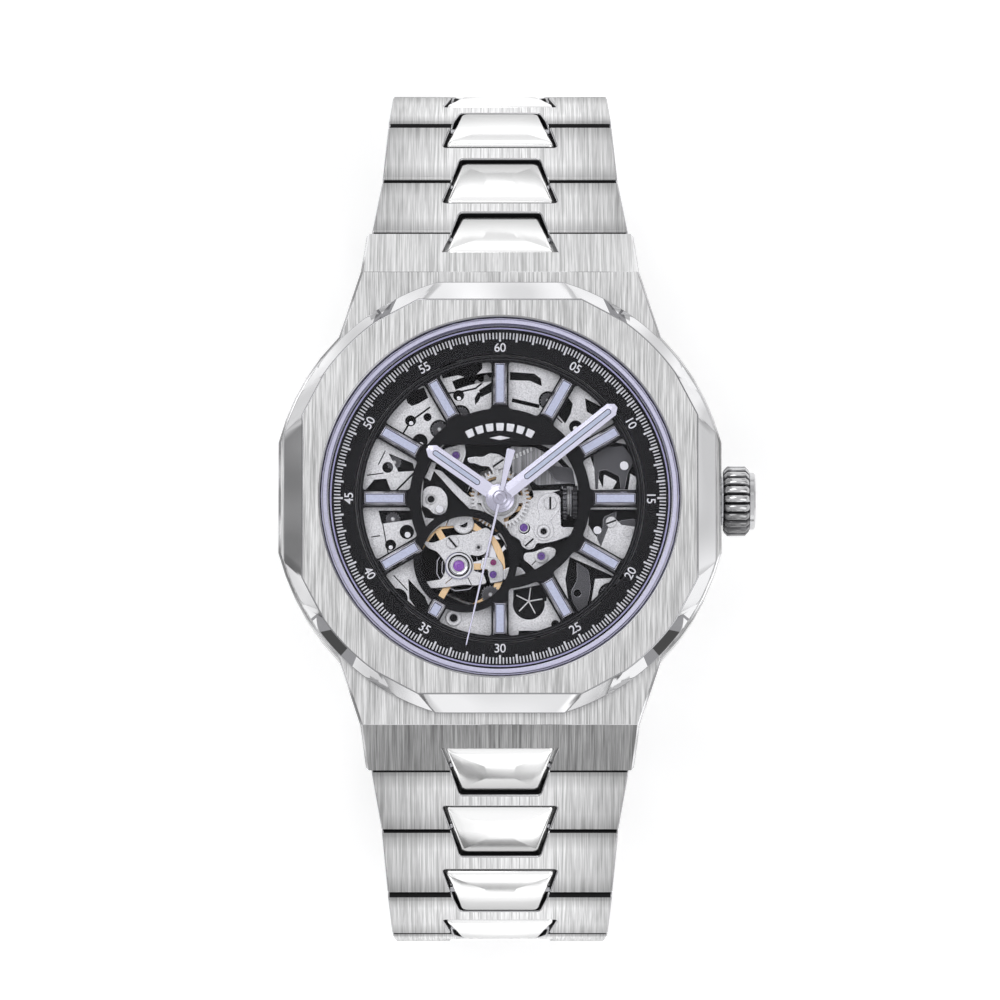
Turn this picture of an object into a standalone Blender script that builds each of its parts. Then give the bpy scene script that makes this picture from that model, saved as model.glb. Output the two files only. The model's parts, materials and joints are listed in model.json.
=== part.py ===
"""Skeleton wristwatch with an integrated steel bracelet, closed and standing on its clasp.

Metres, +Z up: the dial faces +Z, 12 o'clock is +Y and the crown is at +X. The origin is the
centre of the clasp's flat outer face. Driving sizes are in millimetres and scaled by MM.
"""

import math

import bmesh
import bpy
from mathutils import Vector

MM = 0.001

# Bracelet: slope of each link below the dial plane, from the case round to the clasp
LINK_SLOPES = (40, 36, 62, 87, 112, 137, 154, 165)
LINK_WIDTHS = (23.4, 21.6, 20.6, 19.9, 19.4, 19.0, 18.6, 18.3, 18.0)
PITCH = 7.0
ABOVE_AXIS = 0.9  # outer face of a link above its hinge axis
BELOW_AXIS = 2.0
HALF_GAP = 0.1
RELIEF = 0.6  # how far a link's end leans back at its inner face
PIECE_REACH = 2.6  # centre piece to each side of the hinge axis
PIECE_WIDE = 10.0
PIECE_NARROW = 7.0
PIECE_TOP = 1.05
PIECE_BOTTOM = -1.2
PIECE_PIN = 1.5
PIECE_GAP = 0.2
NOTCH_DEPTH = 2.95

# Clasp
CLASP_AXIS_Z = 1.4
CLASP_HALF_WIDTH = 9.0
CLASP_WALL_TOP = 3.2
CLASP_FLOOR = 1.0
CLASP_INNER_HALF = 8.0
BLADE_HALF_WIDTH = 6.4
BLADE_THICKNESS = 0.8
BLADE_LAP = 0.5  # how far a knuckle's neck runs into its blade
COVER_HINGE = (-16.6, 1.65)
BLADE_HINGE = (12.3, 2.2)

# Case
END_SLOPE = 48
CREASE_Y = 20.5
FIRST_HINGE_Y = 23.85
BODY_HALF = 12.6  # case width at the crease
BODY_END_HALF = 11.8
CASE_HALF = 20.0
CASE_RADIUS = 20.6
CASE_DEPTH = 8.0
BORE = 15.6
BEZEL_RADIUS = 20.3
BEZEL_FLAT = 19.5
BEZEL_TOP_RADIUS = 19.35
BEZEL_TOP_FLAT = 17.8
BEZEL_HEIGHT = 2.0
CRYSTAL_RADIUS = 16.0
GAP = 0.05

# Movement axes in the dial plane
BARREL = (1.2, 6.4)
THIRD = (2.07, -2.34)
ESCAPE = (-0.9, -3.25)
PALLET = (-0.69, -5.4)
BALANCE = (-3.73, -6.02)

HOUR_ANGLE = 304.9  # clockwise from 12
MINUTE_ANGLE = 51.5
SECONDS_ANGLE = 192.9


def hinge_points():
    """(y, z) of the hinge axes of one side, from the case to the clasp."""
    y = FIRST_HINGE_Y
    z = CLASP_AXIS_Z + PITCH * sum(math.sin(math.radians(s)) for s in LINK_SLOPES)
    points = [(y, z)]
    for slope in LINK_SLOPES:
        y += PITCH * math.cos(math.radians(slope))
        z -= PITCH * math.sin(math.radians(slope))
        points.append((y, z))
    return points


HINGES = hinge_points()


def along(point, slope, forward, up):
    """A (y, z) point, forward along a slope from a hinge and up along its outward normal."""
    a = math.radians(slope)
    return (point[0] + forward * math.cos(a) + up * math.sin(a),
            point[1] - forward * math.sin(a) + up * math.cos(a))


FACET_TOP_EDGE = along(HINGES[0], END_SLOPE, -HALF_GAP, ABOVE_AXIS)
TOP = FACET_TOP_EDGE[1] + (FACET_TOP_EDGE[0] - CREASE_Y) * math.tan(math.radians(END_SLOPE))
CROWN_Z = TOP - 4.1

for old in list(bpy.data.objects):
    bpy.data.objects.remove(old, do_unlink=True)

parts = bpy.data.collections.new("skeleton_wristwatch")
cutters = bpy.data.collections.new("cutters")
for collection in (parts, cutters):
    bpy.context.scene.collection.children.link(collection)


def material(name, colour, roughness, metallic):
    made = bpy.data.materials.new(name)
    made.use_nodes = True
    shader = made.node_tree.nodes["Principled BSDF"]
    shader.inputs["Base Color"].default_value = (*colour, 1)
    shader.inputs["Roughness"].default_value = roughness
    shader.inputs["Metallic"].default_value = metallic
    made.diffuse_color = (*colour, 1)
    return made


FINISHES = {
    "brushed_steel": ((0.62, 0.62, 0.63), 0.35, 1.0),
    "polished_steel": ((0.75, 0.75, 0.76), 0.08, 1.0),
    "frosted_steel": ((0.78, 0.78, 0.77), 0.5, 1.0),
    "black_dial": ((0.02, 0.02, 0.022), 0.6, 0.0),
    "gilt_brass": ((0.75, 0.55, 0.30), 0.3, 1.0),
    "hand_metal": ((0.78, 0.77, 0.84), 0.15, 1.0),
    "sapphire": ((0.9, 0.9, 1.0), 0.02, 0.0),
    "black_rubber": ((0.03, 0.03, 0.03), 0.7, 0.0),
}


# ---- outlines, in millimetres ----

def circle(radius, count, centre=(0, 0), phase=0.0):
    turn = 2 * math.pi / count
    return [(centre[0] + radius * math.cos(phase + turn * i),
             centre[1] + radius * math.sin(phase + turn * i)) for i in range(count)]


def gear(root, tip, teeth):
    """A toothed rim with straight-sided teeth."""
    points = []
    pitch = 2 * math.pi / teeth
    for i in range(teeth):
        for part_turn, radius in ((0.0, root), (0.35, root), (0.5, tip), (0.8, tip)):
            a = pitch * (i + part_turn)
            points.append((radius * math.cos(a), radius * math.sin(a)))
    return points


def spokes(inner, outer, count, half_width):
    """The openings of a wheel between its hub, its rim and its straight spokes."""
    openings = []
    for i in range(count):
        start = 2 * math.pi * i / count
        end = start + 2 * math.pi / count
        opening = []
        for radius, order in ((outer, (0, 0.33, 0.67, 1)), (inner, (1, 0))):
            margin = half_width / radius
            for t in order:
                a = start + margin + (end - start - 2 * margin) * t
                opening.append((radius * math.cos(a), radius * math.sin(a)))
        openings.append(opening)
    return openings


def squared_circle(radius, flat, steps):
    """A circle clipped by four flats, with the same number of points for any size."""
    corner = math.acos(flat / radius)
    points = []
    for quarter in range(4):
        for i in range(steps + 1):
            a = corner + (math.pi / 2 - 2 * corner) * i / steps + quarter * math.pi / 2
            points.append((radius * math.cos(a), radius * math.sin(a)))
    return points


def bar(x0, x1, y0, y1):
    return [(x0, y0), (x1, y0), (x1, y1), (x0, y1)]


# ---- solids ----

def finish(name, bm, finish_name, location, rotation, collection):
    bmesh.ops.recalc_face_normals(bm, faces=bm.faces[:])
    mesh = bpy.data.meshes.new(name)
    bmesh.ops.scale(bm, vec=(MM, MM, MM), verts=bm.verts[:])
    bm.to_mesh(mesh)
    bm.free()
    made = bpy.data.objects.new(name, mesh)
    made.location = Vector(location) * MM
    made.rotation_euler = rotation
    collection.objects.link(made)
    if collection is cutters:
        made.hide_render = True
        made.display_type = 'WIRE'
    else:
        mesh.materials.append(material(name, *FINISHES[finish_name]))
        mesh.shade_smooth()
        mesh.set_sharp_from_angle(angle=math.radians(30))
    return made


def plate(name, outlines, bottom, top, finish_name="brushed_steel", location=(0, 0, 0),
          rotation=(0, 0, 0), collection=None):
    """A flat plate. The first outline is its rim and the others are holes through it."""
    bm = bmesh.new()
    edges = []
    for outline in outlines:
        ring = [bm.verts.new((x, y, bottom)) for x, y in outline]
        edges += [bm.edges.new((a, b)) for a, b in zip(ring, ring[1:] + ring[:1])]
    bmesh.ops.triangle_fill(bm, use_beauty=True, edges=edges)
    risen = bmesh.ops.extrude_face_region(bm, geom=bm.faces[:])
    lifted = [v for v in risen["geom"] if isinstance(v, bmesh.types.BMVert)]
    bmesh.ops.translate(bm, vec=(0, 0, top - bottom), verts=lifted)
    return finish(name, bm, finish_name, location, rotation, collection or parts)


def turned(name, profile, steps, finish_name="brushed_steel", location=(0, 0, 0),
           rotation=(0, 0, 0), collection=None):
    """A closed (radius, height) profile spun about Z. Radius 0 points lie on the axis."""
    bm = bmesh.new()
    verts = [bm.verts.new((r, 0, z)) for r, z in profile]
    edges = [bm.edges.new((a, b)) for a, b in zip(verts, verts[1:] + verts[:1])]
    edges = [e for e in edges if any(v.co.x > 0 for v in e.verts)]
    bmesh.ops.spin(bm, geom=verts + edges, cent=(0, 0, 0), axis=(0, 0, 1), dvec=(0, 0, 0),
                   angle=2 * math.pi, steps=steps, use_merge=True)
    bmesh.ops.remove_doubles(bm, verts=bm.verts[:], dist=0.0005)
    loose = [e for e in bm.edges if not e.link_faces]
    bmesh.ops.delete(bm, geom=loose, context='EDGES')
    return finish(name, bm, finish_name, location, rotation, collection or parts)


def loft(name, rings, finish_name, location=(0, 0, 0)):
    """A ring-shaped solid whose section runs through the rings, each a list of (x, y, z)."""
    bm = bmesh.new()
    loops = [[bm.verts.new(p) for p in ring] for ring in rings]
    for ring, following in zip(loops, loops[1:] + loops[:1]):
        for i in range(len(ring)):
            j = (i + 1) % len(ring)
            bm.faces.new((ring[i], ring[j], following[j], following[i]))
    return finish(name, bm, finish_name, location, (0, 0, 0), parts)


def across(name, outline, half_width, location=(0, 0, 0), rotation=(0, 0, 0), far_half=None,
           collection=None, finish_name="brushed_steel"):
    """A (y, z) outline extruded along X, optionally narrowing to far_half at its largest y."""
    bm = bmesh.new()
    ring = [bm.verts.new((-half_width, y, z)) for y, z in outline]
    face = bm.faces.new(ring)
    risen = bmesh.ops.extrude_face_region(bm, geom=[face])
    lifted = [v for v in risen["geom"] if isinstance(v, bmesh.types.BMVert)]
    bmesh.ops.translate(bm, vec=(2 * half_width, 0, 0), verts=lifted)
    if far_half is not None:
        reach = max(y for y, _ in outline)
        for v in bm.verts:
            v.co.x *= 1 + (far_half / half_width - 1) * max(v.co.y, 0) / reach
    return finish(name, bm, finish_name, location, rotation, collection or parts)


def boolean(target, tools, operation='DIFFERENCE'):
    for tool in tools:
        step = target.modifiers.new(tool.name, 'BOOLEAN')
        step.object = tool
        step.operation = operation
        step.solver = 'EXACT'
    return target


def pin(name, radius, x0, x1, y, z, steps=12, collection=None):
    """A round bar along X."""
    return turned(name, [(0, x0), (radius, x0), (radius, x1), (0, x1)], steps, "polished_steel",
                  location=(0, y, z), rotation=(0, math.pi / 2, 0), collection=collection)


# ---- case ----

def side_of_case():
    """The (y, z) outline of half the case, from its bottom round to its top."""
    return [(19.6, TOP - CASE_DEPTH),
            along(HINGES[0], END_SLOPE, -HALF_GAP - RELIEF, -BELOW_AXIS),
            along(HINGES[0], END_SLOPE, -HALF_GAP, 0),
            FACET_TOP_EDGE,
            (CREASE_Y, TOP)]


def centre_outline(near, far, margin):
    """The trapezoid of a centre piece about its hinge, wide towards the case."""
    middle = (PIECE_WIDE + PIECE_NARROW) / 4
    lean = (PIECE_WIDE - PIECE_NARROW) / 4 / PIECE_REACH
    return [(-(middle + lean * near + margin), -near), (middle + lean * near + margin, -near),
            (middle - lean * far + margin, far), (-(middle - lean * far + margin), far)]


def placed_at(hinge, slope, side):
    """Location and rotation of a link frame: y along the link, z out of its outer face."""
    turn = math.pi if side < 0 else 0.0
    return ((0, side * hinge[0], hinge[1]), (-math.radians(slope), 0, turn))


def notch(name, hinge, slope, side):
    location, rotation = placed_at(hinge, slope, side)
    return plate(name, [centre_outline(NOTCH_DEPTH, 1.5, PIECE_GAP)], -4, 3, None, location,
                 rotation, cutters)


def make_mid_case():
    half = side_of_case()
    profile = half + [(-y, z) for y, z in reversed(half)]
    case = across("mid_case", profile, 25)
    arc = [math.radians(a) for a in (14, 20, 26, 32, 38, 45)]
    quarter = [(CASE_HALF, CASE_RADIUS * math.sin(arc[0]))]
    quarter += [(CASE_RADIUS * math.cos(a), CASE_RADIUS * math.sin(a)) for a in arc[1:]]
    quarter += [(BODY_HALF, CREASE_Y), (BODY_END_HALF, 27)]
    right = [(x, -y) for x, y in reversed(quarter)] + quarter
    plan = right + [(-x, y) for x, y in reversed(right)]
    outline = plate("case_plan", [plan], TOP - 12, TOP + 3, None, collection=cutters)
    bore = turned("case_bore", [(0, TOP + 1), (BORE, TOP + 1), (BORE, TOP - 9), (0, TOP - 9)], 48,
                  None, collection=cutters)
    boolean(case, [outline], 'INTERSECT')
    tube_hole = pin("crown_tube_hole", 1.35, 14, 22, 0, CROWN_Z, 16, cutters)
    tools = [bore, tube_hole]
    tools += [notch(f"case_notch_{n}", HINGES[0], END_SLOPE, s) for n, s in (("12", 1), ("6", -1))]
    return boolean(case, tools)


def make_case():
    make_mid_case()
    steps = 8
    count = 4 * (steps + 1)
    outer = squared_circle(BEZEL_RADIUS, BEZEL_FLAT, steps)
    upper = squared_circle(BEZEL_TOP_RADIUS, BEZEL_TOP_FLAT, steps)
    phase = math.acos(BEZEL_FLAT / BEZEL_RADIUS)
    inner = circle(CRYSTAL_RADIUS + 0.2, count, phase=phase)
    ledge = circle(15.45, count, phase=phase)
    section = [(outer, 0.75), (upper, BEZEL_HEIGHT), (inner, BEZEL_HEIGHT), (inner, 0.7),
               (ledge, 0.7), (ledge, GAP), (outer, GAP)]
    loft("bezel", [[(x, y, TOP + z) for x, y in ring] for ring, z in section], "brushed_steel")
    turned("crystal", [(0, TOP + 2.3), (15.35, TOP + 2.3), (CRYSTAL_RADIUS, TOP + 1.7),
                       (CRYSTAL_RADIUS, TOP + 0.8), (0, TOP + 0.8)], 48, "sapphire")
    turned("crystal_gasket", [(16.04, TOP + 1.6), (16.14, TOP + 1.6), (16.14, TOP + 0.8),
                              (16.04, TOP + 0.8)], 48, "black_rubber")
    turned("chapter_ring", [(13.1, TOP - 0.5), (15.4, TOP - 0.3), (15.4, TOP - 1.4),
                            (13.1, TOP - 1.4)], 48, "black_dial")
    turned("case_back", [(12.6, TOP - 8.05), (15.3, TOP - 8.05), (15.3, TOP - 7.2),
                         (15.5, TOP - 7.2), (15.5, TOP - 8.05), (19.0, TOP - 8.05),
                         (18.0, TOP - 9.0), (12.6, TOP - 9.0)], 48)
    turned("case_back_window", [(0, TOP - 7.9), (12.5, TOP - 7.9), (12.5, TOP - 8.9),
                                (0, TOP - 8.9)], 36, "sapphire")
    turned("case_back_gasket", [(13.2, TOP - 7.6), (14.6, TOP - 7.6), (14.6, TOP - 8.0),
                                (13.2, TOP - 8.0)], 36, "black_rubber")
    turned("movement_ring", [(13.5, TOP - 1.5), (15.3, TOP - 1.5), (15.3, TOP - 2.6),
                             (13.5, TOP - 2.6)], 36, "black_dial")


# ---- dial and hands ----

def sector_opening(inner, outer, middle_hour, half_bar):
    """The opening of the dial between two hour spokes."""
    points = []
    for radius, order in ((outer, (-1, -0.33, 0.33, 1)), (inner, (1, 0, -1))):
        half = math.pi / 12 - half_bar / radius
        for t in order:
            a = math.pi / 2 - math.radians(30 * middle_hour) - half * t
            points.append((radius * math.cos(a), radius * math.sin(a)))
    return points


def ring_points(radius, start, end, count, centre=(0, 0)):
    return [(centre[0] + radius * math.cos(math.radians(start + (end - start) * i / count)),
             centre[1] + radius * math.sin(math.radians(start + (end - start) * i / count)))
            for i in range(count + 1)]


def make_dial():
    openings = [sector_opening(8.2, 12.5, hour + 0.5, 0.75) for hour in range(12)]
    chord = math.degrees(math.asin(4.9 / 7.15))
    centre_opening = ring_points(7.15, 180 - chord, 360 + chord, 24)
    plate("dial", [circle(13.0, 48), *openings, centre_opening], TOP - 1.4, TOP - 1.0, "black_dial")


def hand(name, outline, bottom, top, angle, hub, bore, finish_name="hand_metal"):
    turn = -math.radians(angle)
    round_hub = plate(f"{name}_hub", [circle(hub, 20)], bottom, top, None, collection=cutters)
    hole = plate(f"{name}_hole", [circle(bore, 16)], bottom - 1, top + 1, None,
                 collection=cutters)
    made = plate(name, [outline], bottom, top, finish_name, rotation=(0, 0, turn))
    boolean(made, [round_hub], 'UNION')
    return boolean(made, [hole])


def pointer(length, half, tip, tail):
    return [(-half, -tail), (half, -tail), (half, length - tip), (0.25, length), (-0.25, length),
            (-half, length - tip)]


def make_hands():
    hand("hour_hand", pointer(8.0, 0.57, 0.5, 0.3), TOP - 0.5, TOP - 0.25, HOUR_ANGLE, 1.3, 0.92)
    hand("minute_hand", pointer(13.4, 0.55, 0.5, 0.3), TOP - 0.13, TOP + 0.12, MINUTE_ANGLE, 1.06, 0.55)
    seconds = [(-0.42, -4.5), (0.42, -4.5), (0.16, -0.5), (0.1, 13.7), (-0.1, 13.7), (-0.16, -0.5)]
    made = plate("seconds_hand", [seconds], TOP + 0.27, TOP + 0.42, "hand_metal",
                 rotation=(0, 0, -math.radians(SECONDS_ANGLE)))
    hub = plate("seconds_hub", [circle(0.63, 20)], TOP + 0.27, TOP + 0.5, None, collection=cutters)
    boolean(made, [hub], 'UNION')


# ---- movement ----

def wheel(name, centre, teeth, radius, bottom, top, bore, spoke_count, finish_name="gilt_brass",
          arbor=None, pinion=None):
    """A wheel on its own axis, with an optional solid arbor and a pinion joined to it."""
    holes = spokes(radius * 0.3, radius * 0.78, spoke_count, 0.22) if spoke_count else []
    if bore:
        holes = [circle(bore, 16), *holes]
    made = plate(name, [gear(radius * 0.93, radius, teeth), *holes], bottom, top, finish_name,
                 location=(*centre, 0))
    if arbor:
        radius_a, low, high = arbor
        rod = plate(f"{name}_arbor", [circle(radius_a, 12)], low, high, None,
                    location=(*centre, 0), collection=cutters)
        boolean(made, [rod], 'UNION')
    if pinion:
        radius_p, low, high = pinion
        teeth_p = plate(f"{name}_pinion", [gear(radius_p * 0.7, radius_p, 8)], low, high, None,
                        location=(*centre, 0), collection=cutters)
        boolean(made, [teeth_p], 'UNION')
    return made


def make_movement():
    windows = [circle(1.15, 16),
               ring_points(6.2, 120, 200, 8) + ring_points(3.0, 200, 120, 4),
               ring_points(4.3, 150, 400, 14, BALANCE) + ring_points(2.0, 400, 150, 8, BALANCE),
               ring_points(11.6, 62, 112, 8) + ring_points(8.0, 112, 62, 6),
               ring_points(11.6, -60, 8, 10) + ring_points(7.4, 8, -60, 8)]
    plate("main_plate", [circle(13.3, 48), *windows], TOP - 2.9, TOP - 2.1, "frosted_steel")
    barrel_side = ring_points(13.2, 10, 170, 18) + [(-8.0, 1.6), (0.0, 2.2), (8.0, 1.6)]
    plate("barrel_bridge", [barrel_side, circle(0.6, 12, BARREL)], TOP - 6.0, TOP - 5.3, "frosted_steel")
    train_side = (ring_points(13.2, -62, 4, 9) + [(6.0, 1.2), (0.0, 1.7), (-2.6, 0.3), (-1.9, -4.2),
                                                 (-0.9, -7.0), (2.5, -9.5)])
    plate("train_bridge", [train_side, circle(0.5, 12), circle(0.3, 8, THIRD), circle(0.3, 8, ESCAPE)],
          TOP - 6.0, TOP - 5.3, "frosted_steel")
    cock = [(-13.0, -1.0), (-3.4, -0.6), (-2.9, -5.0), (-2.9, -7.4), (-5.6, -8.0), (-11.6, -5.6)]
    plate("balance_cock", [cock, circle(0.4, 10, BALANCE)], TOP - 6.0, TOP - 5.3, "frosted_steel")
    wheel("mainspring_barrel", BARREL, 36, 5.7, TOP - 4.95, TOP - 3.95, 0.6, 0)
    wheel("ratchet_wheel", BARREL, 29, 3.3, TOP - 3.85, TOP - 3.5, 0.5, 0, "polished_steel")
    wheel("crown_wheel", (7.2, 4.2), 26, 3.0, TOP - 3.85, TOP - 3.5, 0.5, 0, "polished_steel")
    wheel("center_wheel", (0, 0), 30, 2.6, TOP - 3.4, TOP - 3.2, 0.42, 4)
    wheel("third_wheel", THIRD, 24, 1.9, TOP - 3.9, TOP - 3.7, 0, 4,
          arbor=(0.16, TOP - 5.8, TOP - 3.1), pinion=(0.45, TOP - 3.75, TOP - 3.15))
    wheel("fourth_wheel", (0, 0), 30, 2.9, TOP - 5.25, TOP - 5.05, 0, 5,
          arbor=(0.28, TOP - 5.8, TOP + 0.15))
    wheel("escape_wheel", ESCAPE, 15, 1.9, TOP - 4.4, TOP - 4.2, 0, 5,
          arbor=(0.14, TOP - 5.8, TOP - 3.5), pinion=(0.4, TOP - 5.25, TOP - 4.3))
    fork = [(-0.3, -1.9), (0.3, -1.9), (0.28, -0.3), (1.5, 0.1), (1.5, 0.5), (0.2, 0.45),
            (0, 0.6), (-0.2, 0.45), (-1.5, 0.5), (-1.5, 0.1), (-0.28, -0.3)]
    pallet = plate("pallet_fork", [fork], TOP - 3.75, TOP - 3.6, "polished_steel",
                   location=(*PALLET, 0), rotation=(0, 0, math.radians(-75)))
    rod = plate("pallet_arbor", [circle(0.13, 10)], TOP - 5.2, TOP - 3.5, None,
                location=(*PALLET, 0), collection=cutters)
    boolean(pallet, [rod], 'UNION')
    rim = [circle(4.2, 36), *spokes(0.6, 3.75, 3, 0.3)]
    balance = plate("balance_wheel", rim, TOP - 3.4, TOP - 3.0, "gilt_brass", location=(*BALANCE, 0))
    staff = plate("balance_staff", [circle(0.16, 12)], TOP - 5.25, TOP - 2.95, None,
                  location=(*BALANCE, 0), collection=cutters)
    boolean(balance, [staff], 'UNION')
    make_hairspring()
    turned("hour_wheel", [(0.62, TOP - 0.2), (0.87, TOP - 0.2), (0.87, TOP - 1.6), (3.0, TOP - 1.6),
                          (3.0, TOP - 1.9), (0.62, TOP - 1.9)], 24, "gilt_brass")
    turned("cannon_pinion", [(0.35, TOP - 0.18), (0.52, TOP - 0.18), (0.52, TOP - 3.1),
                             (0.35, TOP - 3.1)], 16, "polished_steel")
    make_rotor()


def make_hairspring():
    """A flat spiral strip under the balance."""
    turns = 4
    count = 44
    half = 0.05
    outer, inner = [], []
    for i in range(count + 1):
        a = 2 * math.pi * turns * i / count
        radius = 0.4 + 1.9 * i / count
        outer.append(((radius + half) * math.cos(a), (radius + half) * math.sin(a)))
        inner.append(((radius - half) * math.cos(a), (radius - half) * math.sin(a)))
    plate("hairspring", [outer + inner[::-1]], TOP - 4.0, TOP - 3.8, "polished_steel",
          location=(*BALANCE, 0))


def make_rotor():
    weight = (ring_points(12.6, 180, 360, 20) + [(9.6, 0.0)] + ring_points(9.6, 330, 210, 12)[1:-1]
              + [(-9.6, 0.0)])
    web = (ring_points(10.0, 195, 345, 10) + [(3.2, 0.8)] + ring_points(3.2, 20, 160, 8)
           + [(-3.2, 0.8)])
    rotor = plate("rotor", [web], TOP - 7.0, TOP - 6.6, "brushed_steel")
    rim = plate("rotor_rim", [weight], TOP - 7.4, TOP - 6.2, None, collection=cutters)
    hole = plate("rotor_hole", [circle(1.75, 20)], TOP - 8, TOP - 6, None, collection=cutters)
    boolean(rotor, [rim], 'UNION')
    boolean(rotor, [hole])
    turned("rotor_bearing", [(0.4, TOP - 6.15), (1.6, TOP - 6.15), (1.6, TOP - 7.3),
                             (0.4, TOP - 7.3)], 20, "polished_steel")


# ---- crown and winding ----

def make_crown():
    sideways = (0, math.pi / 2, 0)
    turned("crown_tube", [(0.8, 14.6), (1.25, 14.6), (1.25, 20.1), (0.8, 20.1)], 16,
           "polished_steel", location=(0, 0, CROWN_Z), rotation=sideways)
    turned("crown_gasket", [(1.4, 20.9), (1.8, 20.9), (1.8, 21.3), (1.4, 21.3)], 16,
           "black_rubber", location=(0, 0, CROWN_Z), rotation=sideways)
    crown = plate("crown", [gear(2.95, 3.2, 22)], 20.2, 22.6, "polished_steel", (0, 0, CROWN_Z),
                  sideways)
    cap = plate("crown_cap", [circle(2.6, 24)], 22.4, 23.15, None, (0, 0, CROWN_Z), sideways,
                cutters)
    recess = plate("crown_recess", [circle(2.0, 20)], 19.0, 21.6, None, (0, 0, CROWN_Z), sideways,
                   cutters)
    boolean(crown, [cap], 'UNION')
    boolean(crown, [recess])
    turned("winding_stem", [(0, 21.5), (0.55, 21.5), (0.55, 8.2), (0, 8.2)], 12, "polished_steel",
           (0, 0, CROWN_Z), sideways)
    plate("winding_pinion", [gear(0.88, 1.08, 12), circle(0.66, 12)], 8.4, 9.6, "polished_steel",
          (0, 0, CROWN_Z), sideways)


# ---- bracelet ----

def centre_piece(name, hinge, before, after, side, near=PIECE_REACH):
    """The polished piece over a hinge, halfway between the slopes of its two neighbours."""
    slope = (before + after) / 2
    sink = PIECE_PIN * math.tan(math.radians(max(after - before, 0) / 2))
    location, rotation = placed_at(hinge, slope, side)
    return plate(name, [centre_outline(near, PIECE_REACH, 0)], PIECE_BOTTOM - sink,
                 PIECE_TOP - sink, None, location, rotation, cutters)


def make_link(index, side, label):
    """One link: a wide plate with the centre piece of its own hinge and a notch for the next."""
    name = f"link_{label}_{index + 1}"
    slope = LINK_SLOPES[index]
    before = LINK_SLOPES[index - 1] if index else END_SLOPE
    near_half = LINK_WIDTHS[index] / 2
    far_half = LINK_WIDTHS[index + 1] / 2
    outline = [(HALF_GAP, ABOVE_AXIS), (HALF_GAP, 0), (HALF_GAP + RELIEF, -BELOW_AXIS),
               (PITCH - HALF_GAP - RELIEF, -BELOW_AXIS), (PITCH - HALF_GAP, 0),
               (PITCH - HALF_GAP, ABOVE_AXIS)]
    location, rotation = placed_at(HINGES[index], slope, side)
    link = across(name, outline, near_half, location, rotation, far_half)
    if index < len(LINK_SLOPES) - 1 or side > 0:
        boolean(link, [notch(f"{name}_notch", HINGES[index + 1], slope, side)])
    piece = centre_piece(f"{name}_centre", HINGES[index], before, slope, side)
    return boolean(link, [piece], 'UNION')


def make_bracelet():
    for label, side in (("12", 1), ("6", -1)):
        for index in range(len(LINK_SLOPES)):
            make_link(index, side, label)


# ---- clasp ----

def box(name, x0, x1, y0, y1, z0, z1, collection=None):
    return plate(name, [bar(x0, x1, y0, y1)], z0, z1, "brushed_steel", collection=collection)


def make_clasp():
    end = HINGES[-1][0] - HALF_GAP
    outline = [(-end + 0.15, 0.0), (end, 0.0), (end, CLASP_AXIS_Z), (end - RELIEF, CLASP_WALL_TOP),
               (-end + 0.15, CLASP_WALL_TOP)]
    cover = across("clasp_cover", outline, CLASP_HALF_WIDTH)
    inner = CLASP_INNER_HALF
    tools = [box("clasp_well", -inner, inner, -20, 14.4, CLASP_FLOOR, 5, cutters),
             pin("cover_hinge_bore", 0.45, -10, 10, *COVER_HINGE, collection=cutters),
             box("button_ways", -10, 10, -0.1, 4.1, 1.35, 2.85, cutters)]
    boolean(cover, tools)
    piece = centre_piece("clasp_cover_centre", HINGES[-1], LINK_SLOPES[-1], 180, 1)
    boolean(cover, [piece], 'UNION')
    pin("cover_hinge_pin", 0.38, -8.8, 8.8, *COVER_HINGE)
    pin("blade_hinge_pin", 0.38, -6.3, 6.3, *BLADE_HINGE)
    blade("clasp_outer_blade", COVER_HINGE[0], 11.2, 1.25,
          [(COVER_HINGE, 0.6, -7.8, 7.8), (BLADE_HINGE, 0.95, -3.0, 3.0)])
    blade("clasp_inner_blade", -13.9, 11.2, 2.35,
          [(BLADE_HINGE, 0.95, -6.4, -3.15), (BLADE_HINGE, 0.95, 3.15, 6.4)])
    for name, side in (("left", -1), ("right", 1)):
        x0, x1 = sorted((side * 7.4, side * 9.7))
        box(f"push_button_{name}", x0, x1, 0.0, 4.0, 1.45, 2.75)


def blade(name, y0, y1, bottom, knuckles):
    """A flat blade of the clasp with the barrels of its hinges: (centre, radius, x0, x1)."""
    half = BLADE_HALF_WIDTH
    origin = knuckles[0][0]
    made = plate(name, [bar(-half, half, y0 - origin[0], y1 - origin[0])], bottom - origin[1],
                 bottom - origin[1] + BLADE_THICKNESS, "brushed_steel", (0, *origin))
    bores = []
    for i, (centre, radius, x0, x1) in enumerate(knuckles):
        barrel = pin(f"{name}_barrel_{i}", radius, x0, x1, *centre, collection=cutters)
        near = min(centre[0], y1 - BLADE_LAP)
        far = max(centre[0], y0 + BLADE_LAP)
        neck = box(f"{name}_neck_{i}", max(x0, -half), min(x1, half), near, far, bottom,
                   bottom + BLADE_THICKNESS, cutters)
        boolean(made, [neck, barrel], 'UNION')
        bores.append(pin(f"{name}_bore_{i}", 0.45, x0 - 1, x1 + 1, *centre, collection=cutters))
    return boolean(made, bores)


make_case()
make_dial()
make_hands()
make_movement()
make_crown()
make_bracelet()
make_clasp()
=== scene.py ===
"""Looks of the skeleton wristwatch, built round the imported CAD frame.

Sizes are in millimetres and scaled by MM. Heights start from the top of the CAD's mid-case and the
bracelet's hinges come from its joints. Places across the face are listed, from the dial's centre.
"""

import json
import math

import bmesh
import bpy
from mathutils import Matrix, Vector


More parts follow.
